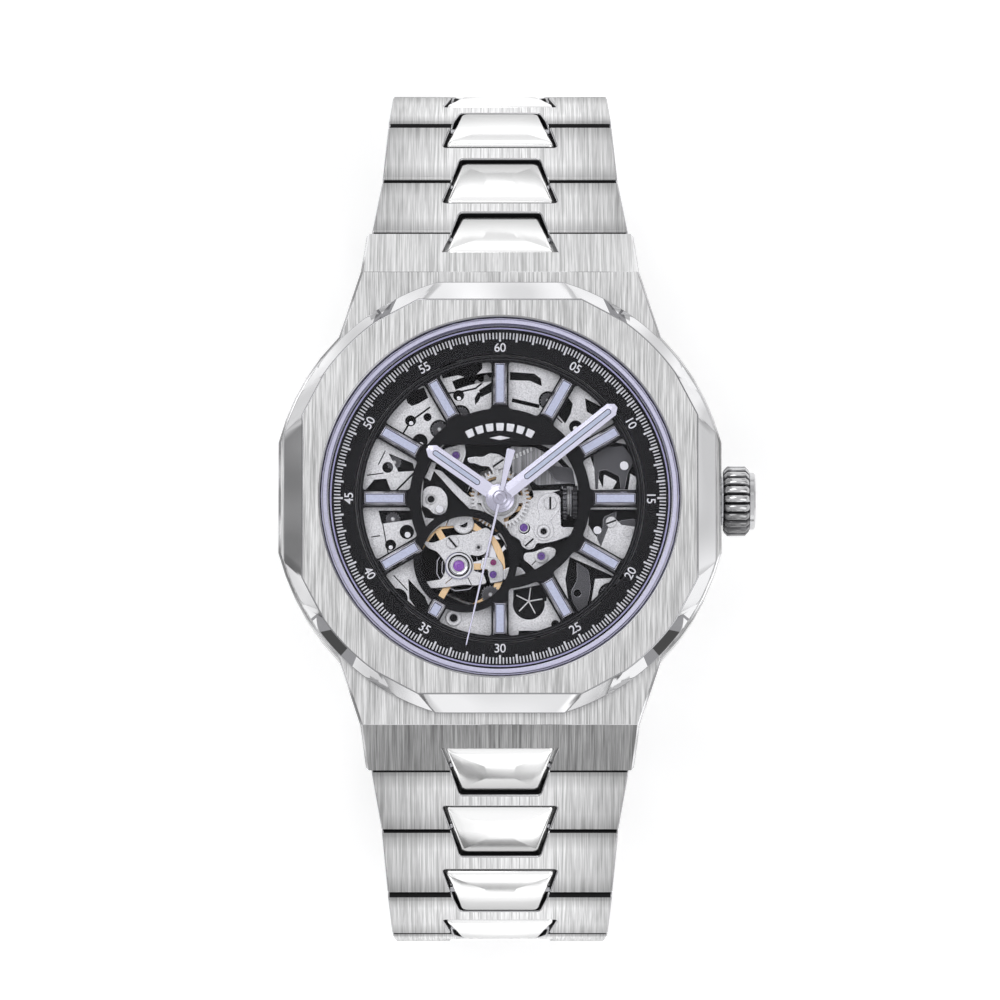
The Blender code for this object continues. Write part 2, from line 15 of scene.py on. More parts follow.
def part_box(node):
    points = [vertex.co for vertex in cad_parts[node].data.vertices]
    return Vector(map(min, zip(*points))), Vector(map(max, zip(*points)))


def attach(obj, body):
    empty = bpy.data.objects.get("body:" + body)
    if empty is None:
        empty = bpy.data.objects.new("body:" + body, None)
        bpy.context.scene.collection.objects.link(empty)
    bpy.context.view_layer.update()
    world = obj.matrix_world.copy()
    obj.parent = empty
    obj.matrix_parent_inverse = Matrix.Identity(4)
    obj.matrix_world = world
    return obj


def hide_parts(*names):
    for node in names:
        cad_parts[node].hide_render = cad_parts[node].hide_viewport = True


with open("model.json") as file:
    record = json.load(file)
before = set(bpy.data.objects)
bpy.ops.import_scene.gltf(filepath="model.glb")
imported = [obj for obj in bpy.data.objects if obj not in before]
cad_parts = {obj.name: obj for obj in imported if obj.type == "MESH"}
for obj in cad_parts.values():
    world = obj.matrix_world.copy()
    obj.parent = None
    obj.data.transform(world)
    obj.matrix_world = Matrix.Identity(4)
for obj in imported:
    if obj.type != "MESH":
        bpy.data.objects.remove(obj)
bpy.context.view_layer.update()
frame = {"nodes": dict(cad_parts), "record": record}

MM = 0.001
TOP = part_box("mid_case")[1][2] / MM
JOINTS = {j["name"]: j for j in frame["record"]["behaviour"]["joints"]}
BALANCE = (-3.73, -6.02)


# ---------------------------------------------------------------- materials

class Nodes:
    """A material's node tree, with short calls for adding and wiring nodes."""

    def __init__(self, name):
        self.material = bpy.data.materials.new(name)
        self.material.use_nodes = True
        self.tree = self.material.node_tree
        self.shader = self.tree.nodes["Principled BSDF"]
        self.output = self.tree.nodes["Material Output"]

    def add(self, kind, **settings):
        node = self.tree.nodes.new(kind)
        for key, value in settings.items():
            if key in node.inputs:
                node.inputs[key].default_value = value
            else:
                setattr(node, key, value)
        return node

    def wire(self, source, target):
        self.tree.links.new(source, target)

    def coordinates(self, scale):
        place = self.add("ShaderNodeTexCoord")
        mapping = self.add("ShaderNodeMapping")
        mapping.inputs["Scale"].default_value = scale
        self.wire(place.outputs["Object"], mapping.inputs["Vector"])
        return mapping.outputs["Vector"]

    def noise(self, scale, detail=3.0, roughness=0.6):
        node = self.add("ShaderNodeTexNoise", Scale=1.0, Detail=detail, Roughness=roughness)
        self.wire(self.coordinates(scale), node.inputs["Vector"])
        return node.outputs["Fac"]

    def ramp(self, value, stops):
        node = self.add("ShaderNodeValToRGB")
        ramp = node.color_ramp
        while len(ramp.elements) < len(stops):
            ramp.elements.new(0.5)
        for element, (position, colour) in zip(ramp.elements, stops):
            element.position = position
            element.color = (*colour, 1)
        self.wire(value, node.inputs["Fac"])
        return node.outputs["Color"]

    def spread(self, value, low, high):
        node = self.add("ShaderNodeMapRange")
        node.inputs["To Min"].default_value = low
        node.inputs["To Max"].default_value = high
        self.wire(value, node.inputs["Value"])
        return node.outputs["Result"]

    def along(self, axis, start, end, stops):
        """A ramp over the piece's own axis, from start to end in metres."""
        place = self.add("ShaderNodeTexCoord")
        split = self.add("ShaderNodeSeparateXYZ")
        self.wire(place.outputs["Object"], split.inputs["Vector"])
        run = self.add("ShaderNodeMapRange")
        run.inputs["From Min"].default_value = start
        run.inputs["From Max"].default_value = end
        self.wire(split.outputs[axis], run.inputs["Value"])
        return self.ramp(run.outputs["Result"], stops)

    def blend(self, first, second, factor):
        """A mix of two values. The factor is a number or another value."""
        node = self.add("ShaderNodeMix", data_type='FLOAT')
        if isinstance(factor, float):
            node.inputs["Factor"].default_value = factor
        else:
            self.wire(factor, node.inputs["Factor"])
        self.wire(first, node.inputs["A"])
        self.wire(second, node.inputs["B"])
        return node.outputs["Result"]

    def faces_sideways(self):
        """One on faces turned to the piece's own X, and zero on the others."""
        place = self.add("ShaderNodeTexCoord")
        split = self.add("ShaderNodeSeparateXYZ")
        size = self.add("ShaderNodeMath", operation='ABSOLUTE')
        step = self.add("ShaderNodeMath", operation='GREATER_THAN')
        step.inputs[1].default_value = 0.6
        self.wire(place.outputs["Normal"], split.inputs["Vector"])
        self.wire(split.outputs["X"], size.inputs[0])
        self.wire(size.outputs["Value"], step.inputs[0])
        return step.outputs["Value"]

    def multiply(self, colour, factor):
        node = self.add("ShaderNodeMix", data_type='RGBA', blend_type='MULTIPLY')
        node.inputs["Factor"].default_value = 1.0
        self.wire(colour, node.inputs["A"])
        self.wire(factor, node.inputs["B"])
        return node.outputs["Result"]

    def bump(self, value, strength, distance):
        node = self.add("ShaderNodeBump", Strength=strength, Distance=distance)
        self.wire(value, node.inputs["Height"])
        self.wire(node.outputs["Normal"], self.shader.inputs["Normal"])


def grey(level, tint=(1, 1, 1)):
    return tuple(level * t for t in tint)


def brushed(name, dark=0.40, light=0.92, grain=(11000, 170, 170), tint=(1, 1, 1.005),
            length=0.0, half_width=0.0):
    """Steel brushed along the piece's own Y: fine streaks in colour, gloss and relief.

    With a length and half width, it has painted shade, darker towards its ends and sides where a
    rolled link turns from the light.
    """
    m = Nodes(name)
    layers = []
    for across, up in ((grain[0], grain[2]), (grain[2], grain[0])):
        fine = m.noise((across, grain[1], up), 3.0, 0.65)
        broad = m.noise((across * 0.35, grain[1] * 0.5, up * 0.35), 2.0, 0.5)
        layers.append(m.blend(fine, broad, 0.4))
    streak = m.blend(*layers, m.faces_sideways())
    colour = m.ramp(streak, [(0.38, grey(dark, tint)), (0.5, grey((dark + light) / 2, tint)),
                             (0.60, grey(light, tint))])
    if length:
        # painted shade: the colour darkens towards the link's ends and sides
        ends = [(0.0, grey(0.35)), (0.10, grey(0.72)), (0.30, grey(1.0)), (0.72, grey(0.94)),
                (1.0, grey(0.62))]
        painted_side_shade = [(0.0, grey(0.60)), (0.25, grey(0.92)), (0.5, grey(1.0)), (0.75, grey(0.92)),
                 (1.0, grey(0.60))]
        colour = m.multiply(colour, m.along("Y", 0.0, length, ends))
        colour = m.multiply(colour, m.along("X", -half_width, half_width, painted_side_shade))
    m.wire(colour, m.shader.inputs["Base Color"])
    m.wire(m.spread(streak, 0.46, 0.30), m.shader.inputs["Roughness"])
    m.shader.inputs["Metallic"].default_value = 1.0
    m.bump(streak, 0.10, 0.00002)
    return m.material


def polished(name, colour=(0.86, 0.86, 0.87), roughness=0.07, dim=0.93, painted_reflection_scale=0):
    """Bright metal with hairlines, or with broad soft tones of that frequency painted in as
    reflections of a studio.
    """
    m = Nodes(name)
    haze = m.noise((900, 900, 900), 3.0)
    m.wire(m.spread(haze, roughness * 0.7, roughness * 1.5), m.shader.inputs["Roughness"])
    tones = m.noise((painted_reflection_scale, painted_reflection_scale, painted_reflection_scale), 0.0) if painted_reflection_scale else m.noise((14000, 500, 14000), 2.0)
    stops = (0.36, 0.58) if painted_reflection_scale else (0.25, 0.6)
    m.wire(m.ramp(tones, [(stops[0], tuple(c * dim for c in colour)), (stops[1], colour)]),
           m.shader.inputs["Base Color"])
    m.shader.inputs["Metallic"].default_value = 1.0
    m.bump(haze, 0.02, 0.00001)
    return m.material


def graded(name, stops, roughness=0.12):
    """Bright metal with a painted reflection: its tone runs along the piece's own Y, as a soft box
    shows in a domed face.
    """
    m = Nodes(name)
    haze = m.noise((1500, 300, 1500), 2.0)
    m.wire(m.spread(haze, roughness * 0.7, roughness * 1.4), m.shader.inputs["Roughness"])
    tone = m.along("Y", -0.0028, 0.0028, [(t, grey(v)) for t, v in stops])
    m.wire(tone, m.shader.inputs["Base Color"])
    m.shader.inputs["Metallic"].default_value = 0.85
    return m.material


def frosted(name, level=0.80, tint=(1, 1, 0.985)):
    """Sandblasted plated metal with a bright, grainy surface."""
    m = Nodes(name)
    grain = m.noise((9000, 9000, 9000), 5.0, 0.75)
    m.wire(m.ramp(grain, [(0.3, grey(level * 0.5, tint)), (0.5, grey(level, tint)),
                          (0.68, grey(min(level * 1.4, 1.0), tint))]),
           m.shader.inputs["Base Color"])
    m.wire(m.spread(grain, 0.62, 0.42), m.shader.inputs["Roughness"])
    m.shader.inputs["Metallic"].default_value = 0.55
    m.bump(grain, 0.35, 0.00002)
    return m.material


def matte(name, colour, roughness=0.6, grain=6000, strength=0.1, shine=0.5):
    """Lacquer, print or rubber with fine grain."""
    m = Nodes(name)
    spots = m.noise((grain, grain, grain), 3.0)
    m.wire(m.ramp(spots, [(0.3, tuple(c * 0.8 for c in colour)), (0.7, colour)]),
           m.shader.inputs["Base Color"])
    m.wire(m.spread(spots, roughness + 0.08, roughness - 0.08), m.shader.inputs["Roughness"])
    m.shader.inputs["Specular IOR Level"].default_value = shine
    if strength:
        m.bump(spots, strength, 0.00001)
    return m.material


def jewel(name, colour):
    m = Nodes(name)
    depth = m.noise((1200, 1200, 1200), 2.0)
    m.wire(m.ramp(depth, [(0.3, tuple(c * 0.55 for c in colour)), (0.7, colour)]),
           m.shader.inputs["Base Color"])
    m.shader.inputs["Roughness"].default_value = 0.08
    m.shader.inputs["Coat Weight"].default_value = 0.6
    return m.material


def clear_glass(name, tint=(0.985, 0.985, 1.0), gloss=0.04):
    """Coated sapphire: nearly clear, with a faint reflection that grows at a slant."""
    m = Nodes(name)
    clear = m.add("ShaderNodeBsdfTransparent")
    clear.inputs["Color"].default_value = (*tint, 1)
    shine = m.add("ShaderNodeBsdfGlossy")
    shine.inputs["Color"].default_value = (0.96, 0.96, 1.0, 1)
    dust = m.noise((700, 700, 700), 2.0)
    m.wire(m.spread(dust, 0.02, 0.05), shine.inputs["Roughness"])
    slant = m.add("ShaderNodeFresnel", IOR=1.18)
    weight = m.add("ShaderNodeMath", operation='MULTIPLY')
    weight.inputs[1].default_value = gloss / 0.04
    m.wire(slant.outputs["Fac"], weight.inputs[0])
    mix = m.add("ShaderNodeMixShader")
    m.wire(weight.outputs["Value"], mix.inputs["Fac"])
    m.wire(clear.outputs["BSDF"], mix.inputs[1])
    m.wire(shine.outputs["BSDF"], mix.inputs[2])
    m.wire(mix.outputs["Shader"], m.output.inputs["Surface"])
    return m.material


# the links' brushed steel, with painted shade towards each link's ends and sides
STEEL = brushed("steel_brushed", 0.50, 0.98, length=0.007, half_width=0.0118)
# a darker copy of brushed steel: painted shade on the case's end facets that face 6 o'clock, and a
# dark sheet in the movement
STEEL_DARK_AND_SHADED = brushed("steel_brushed_dark_and_shaded", 0.16, 0.42)
POLISH = polished("steel_polished")
POLISH_DARK = polished("steel_polished_dark", (0.42, 0.42, 0.44), 0.12)
SILVER = frosted("plate_frosted", 0.76)
SILVER_DULL = frosted("plate_frosted_dull", 0.55)
LEVER_GREY = matte("lever_grey", (0.10, 0.10, 0.105), 0.4, 6000, 0.1, 0.3)
# black of the dial and the movement ring, also used as painted shade in screw slots, in the middles of
# bushes, on the walls of cuts and under the shock ring
BLACK_AND_SHADE = matte("dial_black_and_painted_shade", (0.010, 0.010, 0.011), 0.5, 3000, 0.0, 0.08)
# near black put where there is shade: the movement's floor, the faces of the bridges and rotor turned
# to the dial, and the links' gaps and notches; painted shade
PAINTED_SHADE = matte("painted_shade_black", (0.008, 0.008, 0.009), 0.5, 3000, 0.0, 0.12)
PRINT = matte("print_white", (1.0, 1.0, 1.0), 0.6, 3000, 0.0)
LUME = matte("lume_pale", (0.66, 0.70, 0.86), 0.45)
LILAC = polished("metal_lilac", (0.80, 0.79, 0.90), 0.14)
LUME_HAND = matte("lume_hand", (0.64, 0.70, 0.84), 0.45)
LILAC_RIM = matte("crystal_rim", (0.66, 0.65, 0.84), 0.3)
BRASS = polished("brass_gilt", (0.92, 0.66, 0.38), 0.22)
VIOLET = jewel("jewel_violet", (0.18, 0.06, 0.42))
AMETHYST = jewel("jewel_amethyst", (0.36, 0.10, 0.62))
MAGENTA = jewel("jewel_magenta", (0.36, 0.02, 0.20))
RUBBER = matte("rubber_black", (0.02, 0.02, 0.02), 0.7)
GLASS = clear_glass("sapphire_clear")


# ---------------------------------------------------------------- outlines

def circle(radius, count=64, centre=(0, 0), phase=0.0):
    turn = 2 * math.pi / count
    return [(centre[0] + radius * math.cos(phase + turn * i),
             centre[1] + radius * math.sin(phase + turn * i)) for i in range(count)]


def arc(radius, start, end, count, centre=(0, 0)):
    """Points from one angle to another, in degrees."""
    return [(centre[0] + radius * math.cos(math.radians(start + (end - start) * i / count)),
             centre[1] + radius * math.sin(math.radians(start + (end - start) * i / count)))
            for i in range(count + 1)]


def bar(x0, x1, y0, y1):
    return [(x0, y0), (x1, y0), (x1, y1), (x0, y1)]


def rounded(points, radius, steps=4):
    """A closed outline with its corners turned into arcs of that radius where they fit."""
    made = []
    count = len(points)
    for i in range(count):
        before, here, after = (Vector(points[(i + k) % count]) for k in (-1, 0, 1))
        into, out = (before - here), (after - here)
        reach = min(radius, into.length * 0.45, out.length * 0.45)
        a, b = here + into.normalized() * reach, here + out.normalized() * reach
        for k in range(steps + 1):
            t = k / steps
            made.append(tuple(a * (1 - t) ** 2 + here * 2 * t * (1 - t) + b * t ** 2))
    return made


def gear(root, tip, teeth, centre=(0, 0)):
    points = []
    pitch = 2 * math.pi / teeth
    for i in range(teeth):
        for part_turn, radius in ((0.0, root), (0.3, root), (0.45, tip), (0.8, tip)):
            a = pitch * (i + part_turn)
            points.append((centre[0] + radius * math.cos(a), centre[1] + radius * math.sin(a)))
    return points


def clock(angle, radius):
    """The point at a clock angle in degrees from 12 and a radius."""
    a = math.radians(90 - angle)
    return (radius * math.cos(a), radius * math.sin(a))


# ---------------------------------------------------------------- solids


def settle(name, bm, materials, body, node=None, matrix=None, bevel=0.0, bevel_slot=None,
           segments=2, smooth=30):
    """Turns a bmesh in millimetres into a piece that rides on a body."""
    bmesh.ops.recalc_face_normals(bm, faces=bm.faces[:])
    bmesh.ops.scale(bm, vec=(MM, MM, MM), verts=bm.verts[:])
    mesh = bpy.data.meshes.new(name)
    bm.to_mesh(mesh)
    bm.free()
    for item in materials if isinstance(materials, (list, tuple)) else [materials]:
        mesh.materials.append(item)
    piece = bpy.data.objects.new(name, mesh)
    bpy.context.scene.collection.objects.link(piece)
    if matrix is not None:
        piece.matrix_world = matrix
    mesh.shade_smooth()
    mesh.set_sharp_from_angle(angle=math.radians(smooth))
    if bevel:
        step = piece.modifiers.new("edges", 'BEVEL')
        step.width = bevel * MM
        step.segments = segments
        step.limit_method = 'ANGLE'
        step.angle_limit = math.radians(smooth)
        step.harden_normals = True
        if bevel_slot is not None:
            step.material = bevel_slot
    if body:
        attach(piece, body)
    if node:
        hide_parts(*(node if isinstance(node, (list, tuple)) else [node]))
    return piece


def plate_mesh(outlines, bottom, top):
    bm = bmesh.new()
    edges = []
    for outline in outlines:
        ring = [bm.verts.new((x, y, bottom)) for x, y in outline]
        edges += [bm.edges.new((a, b)) for a, b in zip(ring, ring[1:] + ring[:1])]
    bmesh.ops.triangle_fill(bm, use_beauty=True, edges=edges)
    risen = bmesh.ops.extrude_face_region(bm, geom=bm.faces[:])
    lifted = [v for v in risen["geom"] if isinstance(v, bmesh.types.BMVert)]
    bmesh.ops.translate(bm, vec=(0, 0, top - bottom), verts=lifted)
    bmesh.ops.dissolve_limit(bm, angle_limit=0.02, verts=bm.verts[:], edges=bm.edges[:])
    return bm


def merged(meshes):
    """Several meshes as one, in their order."""
    whole = bmesh.new()
    for bm in meshes:
        held = bpy.data.meshes.new("part")
        bm.to_mesh(held)
        bm.free()
        whole.from_mesh(held)
        bpy.data.meshes.remove(held)
    return whole


def plate(name, outlines, bottom, top, materials, body="case", **options):
    """A flat plate: the first outline is its rim, the others are holes through it."""
    return settle(name, plate_mesh(outlines, bottom, top), materials, body, **options)


def turned(name, profile, materials, body="case", steps=96, **options):
    """A closed (radius, height) profile spun about Z."""
    bm = bmesh.new()
    verts = [bm.verts.new((r, 0, z)) for r, z in profile]
    edges = [bm.edges.new((a, b)) for a, b in zip(verts, verts[1:] + verts[:1])]
    edges = [e for e in edges if any(v.co.x > 0 for v in e.verts)]
    bmesh.ops.spin(bm, geom=verts + edges, cent=(0, 0, 0), axis=(0, 0, 1), dvec=(0, 0, 0),
                   angle=2 * math.pi, steps=steps, use_merge=True)
    bmesh.ops.remove_doubles(bm, verts=bm.verts[:], dist=0.0005)
    bmesh.ops.delete(bm, geom=[e for e in bm.edges if not e.link_faces], context='EDGES')
    return settle(name, bm, materials, body, **options)


def across_mesh(outline, half_width, far_half=None):
    """A (y, z) outline extruded along X, narrowing to far_half at its largest y."""
    bm = bmesh.new()
    face = bm.faces.new([bm.verts.new((-half_width, y, z)) for y, z in outline])
    risen = bmesh.ops.extrude_face_region(bm, geom=[face])
    lifted = [v for v in risen["geom"] if isinstance(v, bmesh.types.BMVert)]
    bmesh.ops.translate(bm, vec=(2 * half_width, 0, 0), verts=lifted)
    if far_half is not None:
        reach = max(y for y, _ in outline)
        for v in bm.verts:
            v.co.x *= 1 + (far_half / half_width - 1) * max(v.co.y, 0) / reach
    return bm


def carve(piece, cutters, operation='DIFFERENCE'):
    """Adds Booleans before the piece's bevel. bake applies them and removes the cutters."""
    for cutter in cutters:
        step = piece.modifiers.new("cut", 'BOOLEAN')
        step.object = cutter
        step.operation = operation
        step.solver = 'EXACT'
        piece.modifiers.move(len(piece.modifiers) - 1, 0)


def bake(piece, cutters=()):
    """Replaces a piece's mesh with its evaluated one, then removes modifiers and cutters."""
    depsgraph = bpy.context.evaluated_depsgraph_get()
    mesh = bpy.data.meshes.new_from_object(piece.evaluated_get(depsgraph))
    piece.modifiers.clear()
    piece.data = mesh
    for cutter in cutters:
        bpy.data.objects.remove(cutter, do_unlink=True)


def cutter(bm, matrix=None):
    return settle("cutter", bm, [STEEL], None, matrix=matrix)


def lofted_mesh(rings, slots):
    """A closed ring-shaped solid. Slots give the material of the strip after each ring."""
    bm = bmesh.new()
    loops = [[bm.verts.new(p) for p in ring] for ring in rings]
    for ring, following, slot in zip(loops, loops[1:] + loops[:1], slots):
        for i in range(len(ring)):
            j = (i + 1) % len(ring)
            bm.faces.new((ring[i], ring[j], following[j], following[i])).material_index = slot
    return bm


def from_cad(node, materials, body, width, weights=None, slot=None, segments=2, name=None):
    """A copy of a CAD solid with its flat faces joined and its edges softened."""
    bm = bmesh.new()
    bm.from_mesh(frame["nodes"][node].data)
    bmesh.ops.scale(bm, vec=(1 / MM, 1 / MM, 1 / MM), verts=bm.verts[:])
    bmesh.ops.remove_doubles(bm, verts=bm.verts[:], dist=0.0005)
    bmesh.ops.dissolve_limit(bm, angle_limit=math.radians(0.6), verts=bm.verts[:],
                             edges=bm.edges[:])
    for face in bm.faces:
        face.material_index = 0
    if weights:
        layer = bm.edges.layers.float.new("bevel_weight_edge")
        for edge in bm.edges:
            if len(edge.link_faces) == 2 and edge.calc_face_angle() > math.radians(20):
                edge[layer] = weights(edge)
    piece = settle(name or node + "_body", bm, materials, body, node=node, bevel=width,
                   bevel_slot=slot, segments=segments)
    if weights:
        piece.modifiers["edges"].limit_method = 'WEIGHT'
    return piece


# ---------------------------------------------------------------- case

BEZEL_FLAT_EDGE = 17.8
BEZEL_EDGE_RADIUS = 19.35
BEZEL_OUTER_FLAT = 19.5
BEZEL_OUTER_RADIUS = 20.3


def bezel_octant():
    """Points of half a side: (top angle, top radius, skirt angle, skirt radius, skirt height)."""
    top_corner, top_arc = 22.6, 35.4
    skirt_corner, scoop_start, scoop, scoop_end = 16.2, 26.9, 32.8, 36.9
    points = []
    for i in range(9):
        a, b = top_corner * i / 8, skirt_corner * i / 8
        points.append((a, BEZEL_FLAT_EDGE / math.cos(math.radians(a)), b,
                       BEZEL_OUTER_FLAT / math.cos(math.radians(b)), 0.75))
    start = Vector(clock(top_corner, BEZEL_FLAT_EDGE / math.cos(math.radians(top_corner))))
    end = Vector(clock(top_arc, BEZEL_EDGE_RADIUS))
    for i in range(1, 13):
        t = i / 12
        here = start.lerp(end, t)
        b = skirt_corner + (scoop - skirt_corner) * t
        dip = max(0.0, (b - scoop_start) / (scoop - scoop_start)) ** 1.5
        points.append((90 - math.degrees(math.atan2(here.y, here.x)), here.length, b,
                       BEZEL_OUTER_RADIUS - 0.66 * dip, 0.75 + 0.87 * dip))
    for i in range(1, 7):
        t = i / 6
        dip = (1 - t) ** 1.5
        points.append((top_arc + 3.1 * t, BEZEL_EDGE_RADIUS, scoop + (scoop_end - scoop) * t,
                       BEZEL_OUTER_RADIUS - 0.66 * dip, 0.75 + 0.87 * dip))
    for i in range(1, 7):
        t = i / 6
        points.append((38.5 + 6.5 * t, BEZEL_EDGE_RADIUS, scoop_end + (45 - scoop_end) * t,
                       BEZEL_OUTER_RADIUS, 0.75))
    return points


def make_bezel():
    octant = bezel_octant()
    side = [(-a, ra, -b, rb, z) for a, ra, b, rb, z in octant[:0:-1]] + octant
    loop = [(a + 90 * k, ra, b + 90 * k, rb, z) for k in range(4)
            for a, ra, b, rb, z in side[:-1]]

    def ring(points, level):
        return [(x, y, TOP + level) for x, y in points]

    edge = [clock(a, ra) for a, ra, _, _, _ in loop]
    skirt = [(*clock(b, rb), TOP + z) for _, _, b, rb, z in loop]
    foot = []
    for _, _, b, _, _ in loop:
        lean = abs((b + 45) % 90 - 45)
        foot.append(clock(b, min(BEZEL_OUTER_RADIUS,
                                 BEZEL_OUTER_FLAT / math.cos(math.radians(lean)))))
    bore = [clock(a, 16.2) for a, _, _, _, _ in loop]
    lip = [clock(a, 16.32) for a, _, _, _, _ in loop]
    ledge = [clock(a, 15.45) for a, _, _, _, _ in loop]
    rings = [ring(lip, 2.0), ring(edge, 2.0), skirt, ring(foot, 0.5), ring(foot, 0.05),
             ring(ledge, 0.05), ring(ledge, 0.7), ring(bore, 0.7), ring(bore, 1.9)]
    # painted shade: the ledge's inner wall takes the darker line copy of polished steel, and strips of
    # the outer bevel at the angles below take the shade copies
    bm = lofted_mesh(rings, [0, 1, 1, 1, 1, 2, 1, 1, 1])
    for face in bm.faces:
        centre = face.calc_center_median()
        turn = abs(math.degrees(math.atan2(centre.y, centre.x)))
        turn = min(turn, 180 - turn)
        if TOP + 1.0 < centre.z < TOP + 1.95 and math.hypot(centre.x, centre.y) > 18:
            if centre.y < 0 and 33 < turn < 49:
                face.material_index = 3 if 37.5 < turn < 45 else 4
            elif centre.y > 0 and 55 < turn < 61:
                face.material_index = 4
    settle("bezel_body", bm, [STEEL_TOP, BEZEL_POLISH, BEZEL_SHADE_LINE, BEZEL_SHADE,
                              BEZEL_HALF_SHADE], "case", node="bezel", bevel=0.09,
           bevel_slot=2, segments=3, smooth=24)


def case_edge_weight(edge):
    """Wide polished chamfers along the outer edges, and only a fine break elsewhere."""
    centre = (edge.verts[0].co + edge.verts[1].co) / 2
    steep = sorted(abs(f.normal.z) for f in edge.link_faces)
    outside = abs(centre.x) > 11.0 and math.hypot(centre.x, centre.y) > 19.0
    if outside and steep[0] < 0.2 and steep[1] > 0.5:
        return 1.0 if centre.z > TOP - 7 else 0.6
    return 0.12


def make_case():
    make_bezel()
    case = from_cad("mid_case", [STEEL_TOP, EDGE_POLISH, STEEL_SIDE, STEEL_DARK_AND_SHADED], "case", 0.42,
                    case_edge_weight, slot=1, segments=1)
    # painted shade: of the case's sloped end facets, those facing 6 o'clock take the darker copy of
    # brushed steel
    for face in case.data.polygons:
        if face.normal.z > 0.3 and abs(face.normal.y) > 0.3:
            face.material_index = 2 if face.normal.y > 0 else 3
    crystal = turned("crystal_glass", [(0, TOP + 2.3), (15.6, TOP + 2.3), (15.95, TOP + 1.95),
                                       (15.98, TOP + 0.82), (0, TOP + 0.82)],
                     [GLASS, LILAC_RIM], node="crystal", steps=144)
    for face in crystal.data.polygons:
        if math.hypot(face.center.x, face.center.y) > 15.55 * MM:
            face.material_index = 1
    turned("crystal_edge_line", [(15.2, TOP + 0.8), (15.34, TOP + 0.8), (15.34, TOP + 0.72),
                                 (15.2, TOP + 0.72)], BLUE_LINE, node="crystal", steps=144)
    turned("minute_track", [(13.1, TOP - 0.5), (15.05, TOP - 0.33), (15.3, TOP + 0.68),
                            (15.42, TOP + 0.68), (15.42, TOP - 1.4), (13.1, TOP - 1.4)],
           SATIN_BLACK, node="chapter_ring", steps=144, bevel=0.03)


STEEL_TOP = brushed("steel_brushed_top", 0.34, 0.78, (15000, 300, 300))
STEEL_SIDE = brushed("steel_brushed_side", 0.42, 0.76)
# broad tones of painted reflection on the polished bezel
BEZEL_POLISH = polished("steel_polished_bezel", (0.74, 0.74, 0.75), 0.10, 0.72, 170)
# a darker copy of polished steel on the bezel's fine chamfers and its ledge's inner wall: painted
# shade
BEZEL_SHADE_LINE = polished("steel_polished_painted_shade_line", (0.34, 0.34, 0.35), 0.15)
BEZEL_SHADE = polished("steel_polished_shade", (0.05, 0.05, 0.05), 0.12)
BEZEL_HALF_SHADE = polished("steel_polished_half_shade", (0.24, 0.24, 0.25), 0.12)
# broad tones of painted reflection on the case's polished chamfers
EDGE_POLISH = polished("steel_polished_edge", (0.74, 0.74, 0.75), 0.10, 0.35, 260)
SATIN_BLACK = matte("track_black", (0.012, 0.012, 0.013), 0.6, 3000, 0.0, 0.1)
BLUE_LINE = matte("crystal_blue_line", (0.60, 0.58, 0.84), 0.3)

make_case()


# ---------------------------------------------------------------- dial

def joined(name, meshes, materials, body="case", **options):
    """Several meshes in millimetres as one piece."""
    return settle(name, merged(meshes), materials, body, **options)


def track_height(radius):
    """Height above the case's top face of the minute track, which rises outwards."""
    return -0.5 + 0.17 * (radius - 13.1) / 1.95


def bar_mesh(inner, outer, half, angle, thickness=0.03):
    """A thin raised bar along a radius of the minute track."""
    low = plate_mesh([bar(-half, half, inner, outer)], 0, thickness)
    for v in low.verts:
        v.co.z += TOP + track_height(v.co.y)
    bmesh.ops.rotate(low, cent=(0, 0, 0), matrix=Matrix.Rotation(math.radians(-angle), 3, 'Z'),
                     verts=low.verts[:])
    return low


def make_minute_marks():
    marks = []
    for i in range(300):
        inner, half = (14.2, 0.09) if i % 5 == 0 else (14.42, 0.062)
        marks.append(bar_mesh(inner, 15.0, half, i * 1.2))
    joined("minute_marks", marks, PRINT, node="chapter_ring")


def number_mesh(text, height, depth):
    """A number centred on the origin, as a closed mesh in millimetres."""
    curve = bpy.data.curves.new("number", 'FONT')
    curve.body = text
    curve.size = height / 0.73
    curve.align_x = 'CENTER'
    curve.align_y = 'CENTER'
    curve.extrude = depth / 2
    curve.offset = 0.008
    curve.space_character = 0.95
    holder = bpy.data.objects.new("number", curve)
    bpy.context.scene.collection.objects.link(holder)
    bpy.context.view_layer.update()
    mesh = bpy.data.meshes.new_from_object(holder.evaluated_get(
        bpy.context.evaluated_depsgraph_get()))
    bpy.data.objects.remove(holder, do_unlink=True)
    bm = bmesh.new()
    bm.from_mesh(mesh)
    bmesh.ops.remove_doubles(bm, verts=bm.verts[:], dist=0.0005)
    return bm


def make_numbers():
    """The minutes in fives, with those round the bottom turned to read upright."""
    numbers = []
    for i in range(1, 13):
        angle = 30 * i
        flipped = 105 < angle < 255
        bm = number_mesh(f"{5 * i:02d}", 0.82, 0.03)
        turn = math.radians(-angle + (180 if flipped else 0))
        x, y = clock(angle, 13.62)
        bmesh.ops.rotate(bm, cent=(0, 0, 0), matrix=Matrix.Rotation(turn, 3, 'Z'),
                         verts=bm.verts[:])
        bmesh.ops.translate(bm, vec=(x, y, TOP + track_height(13.62) + 0.035), verts=bm.verts[:])
        numbers.append(bm)
    joined("minute_numbers", numbers, PRINT, node="chapter_ring")


def index_span(hour):
    if hour == 6:
        return 9.35, 12.4
    if hour == 7:
        return 10.85, 12.4
    return 8.45, 12.4


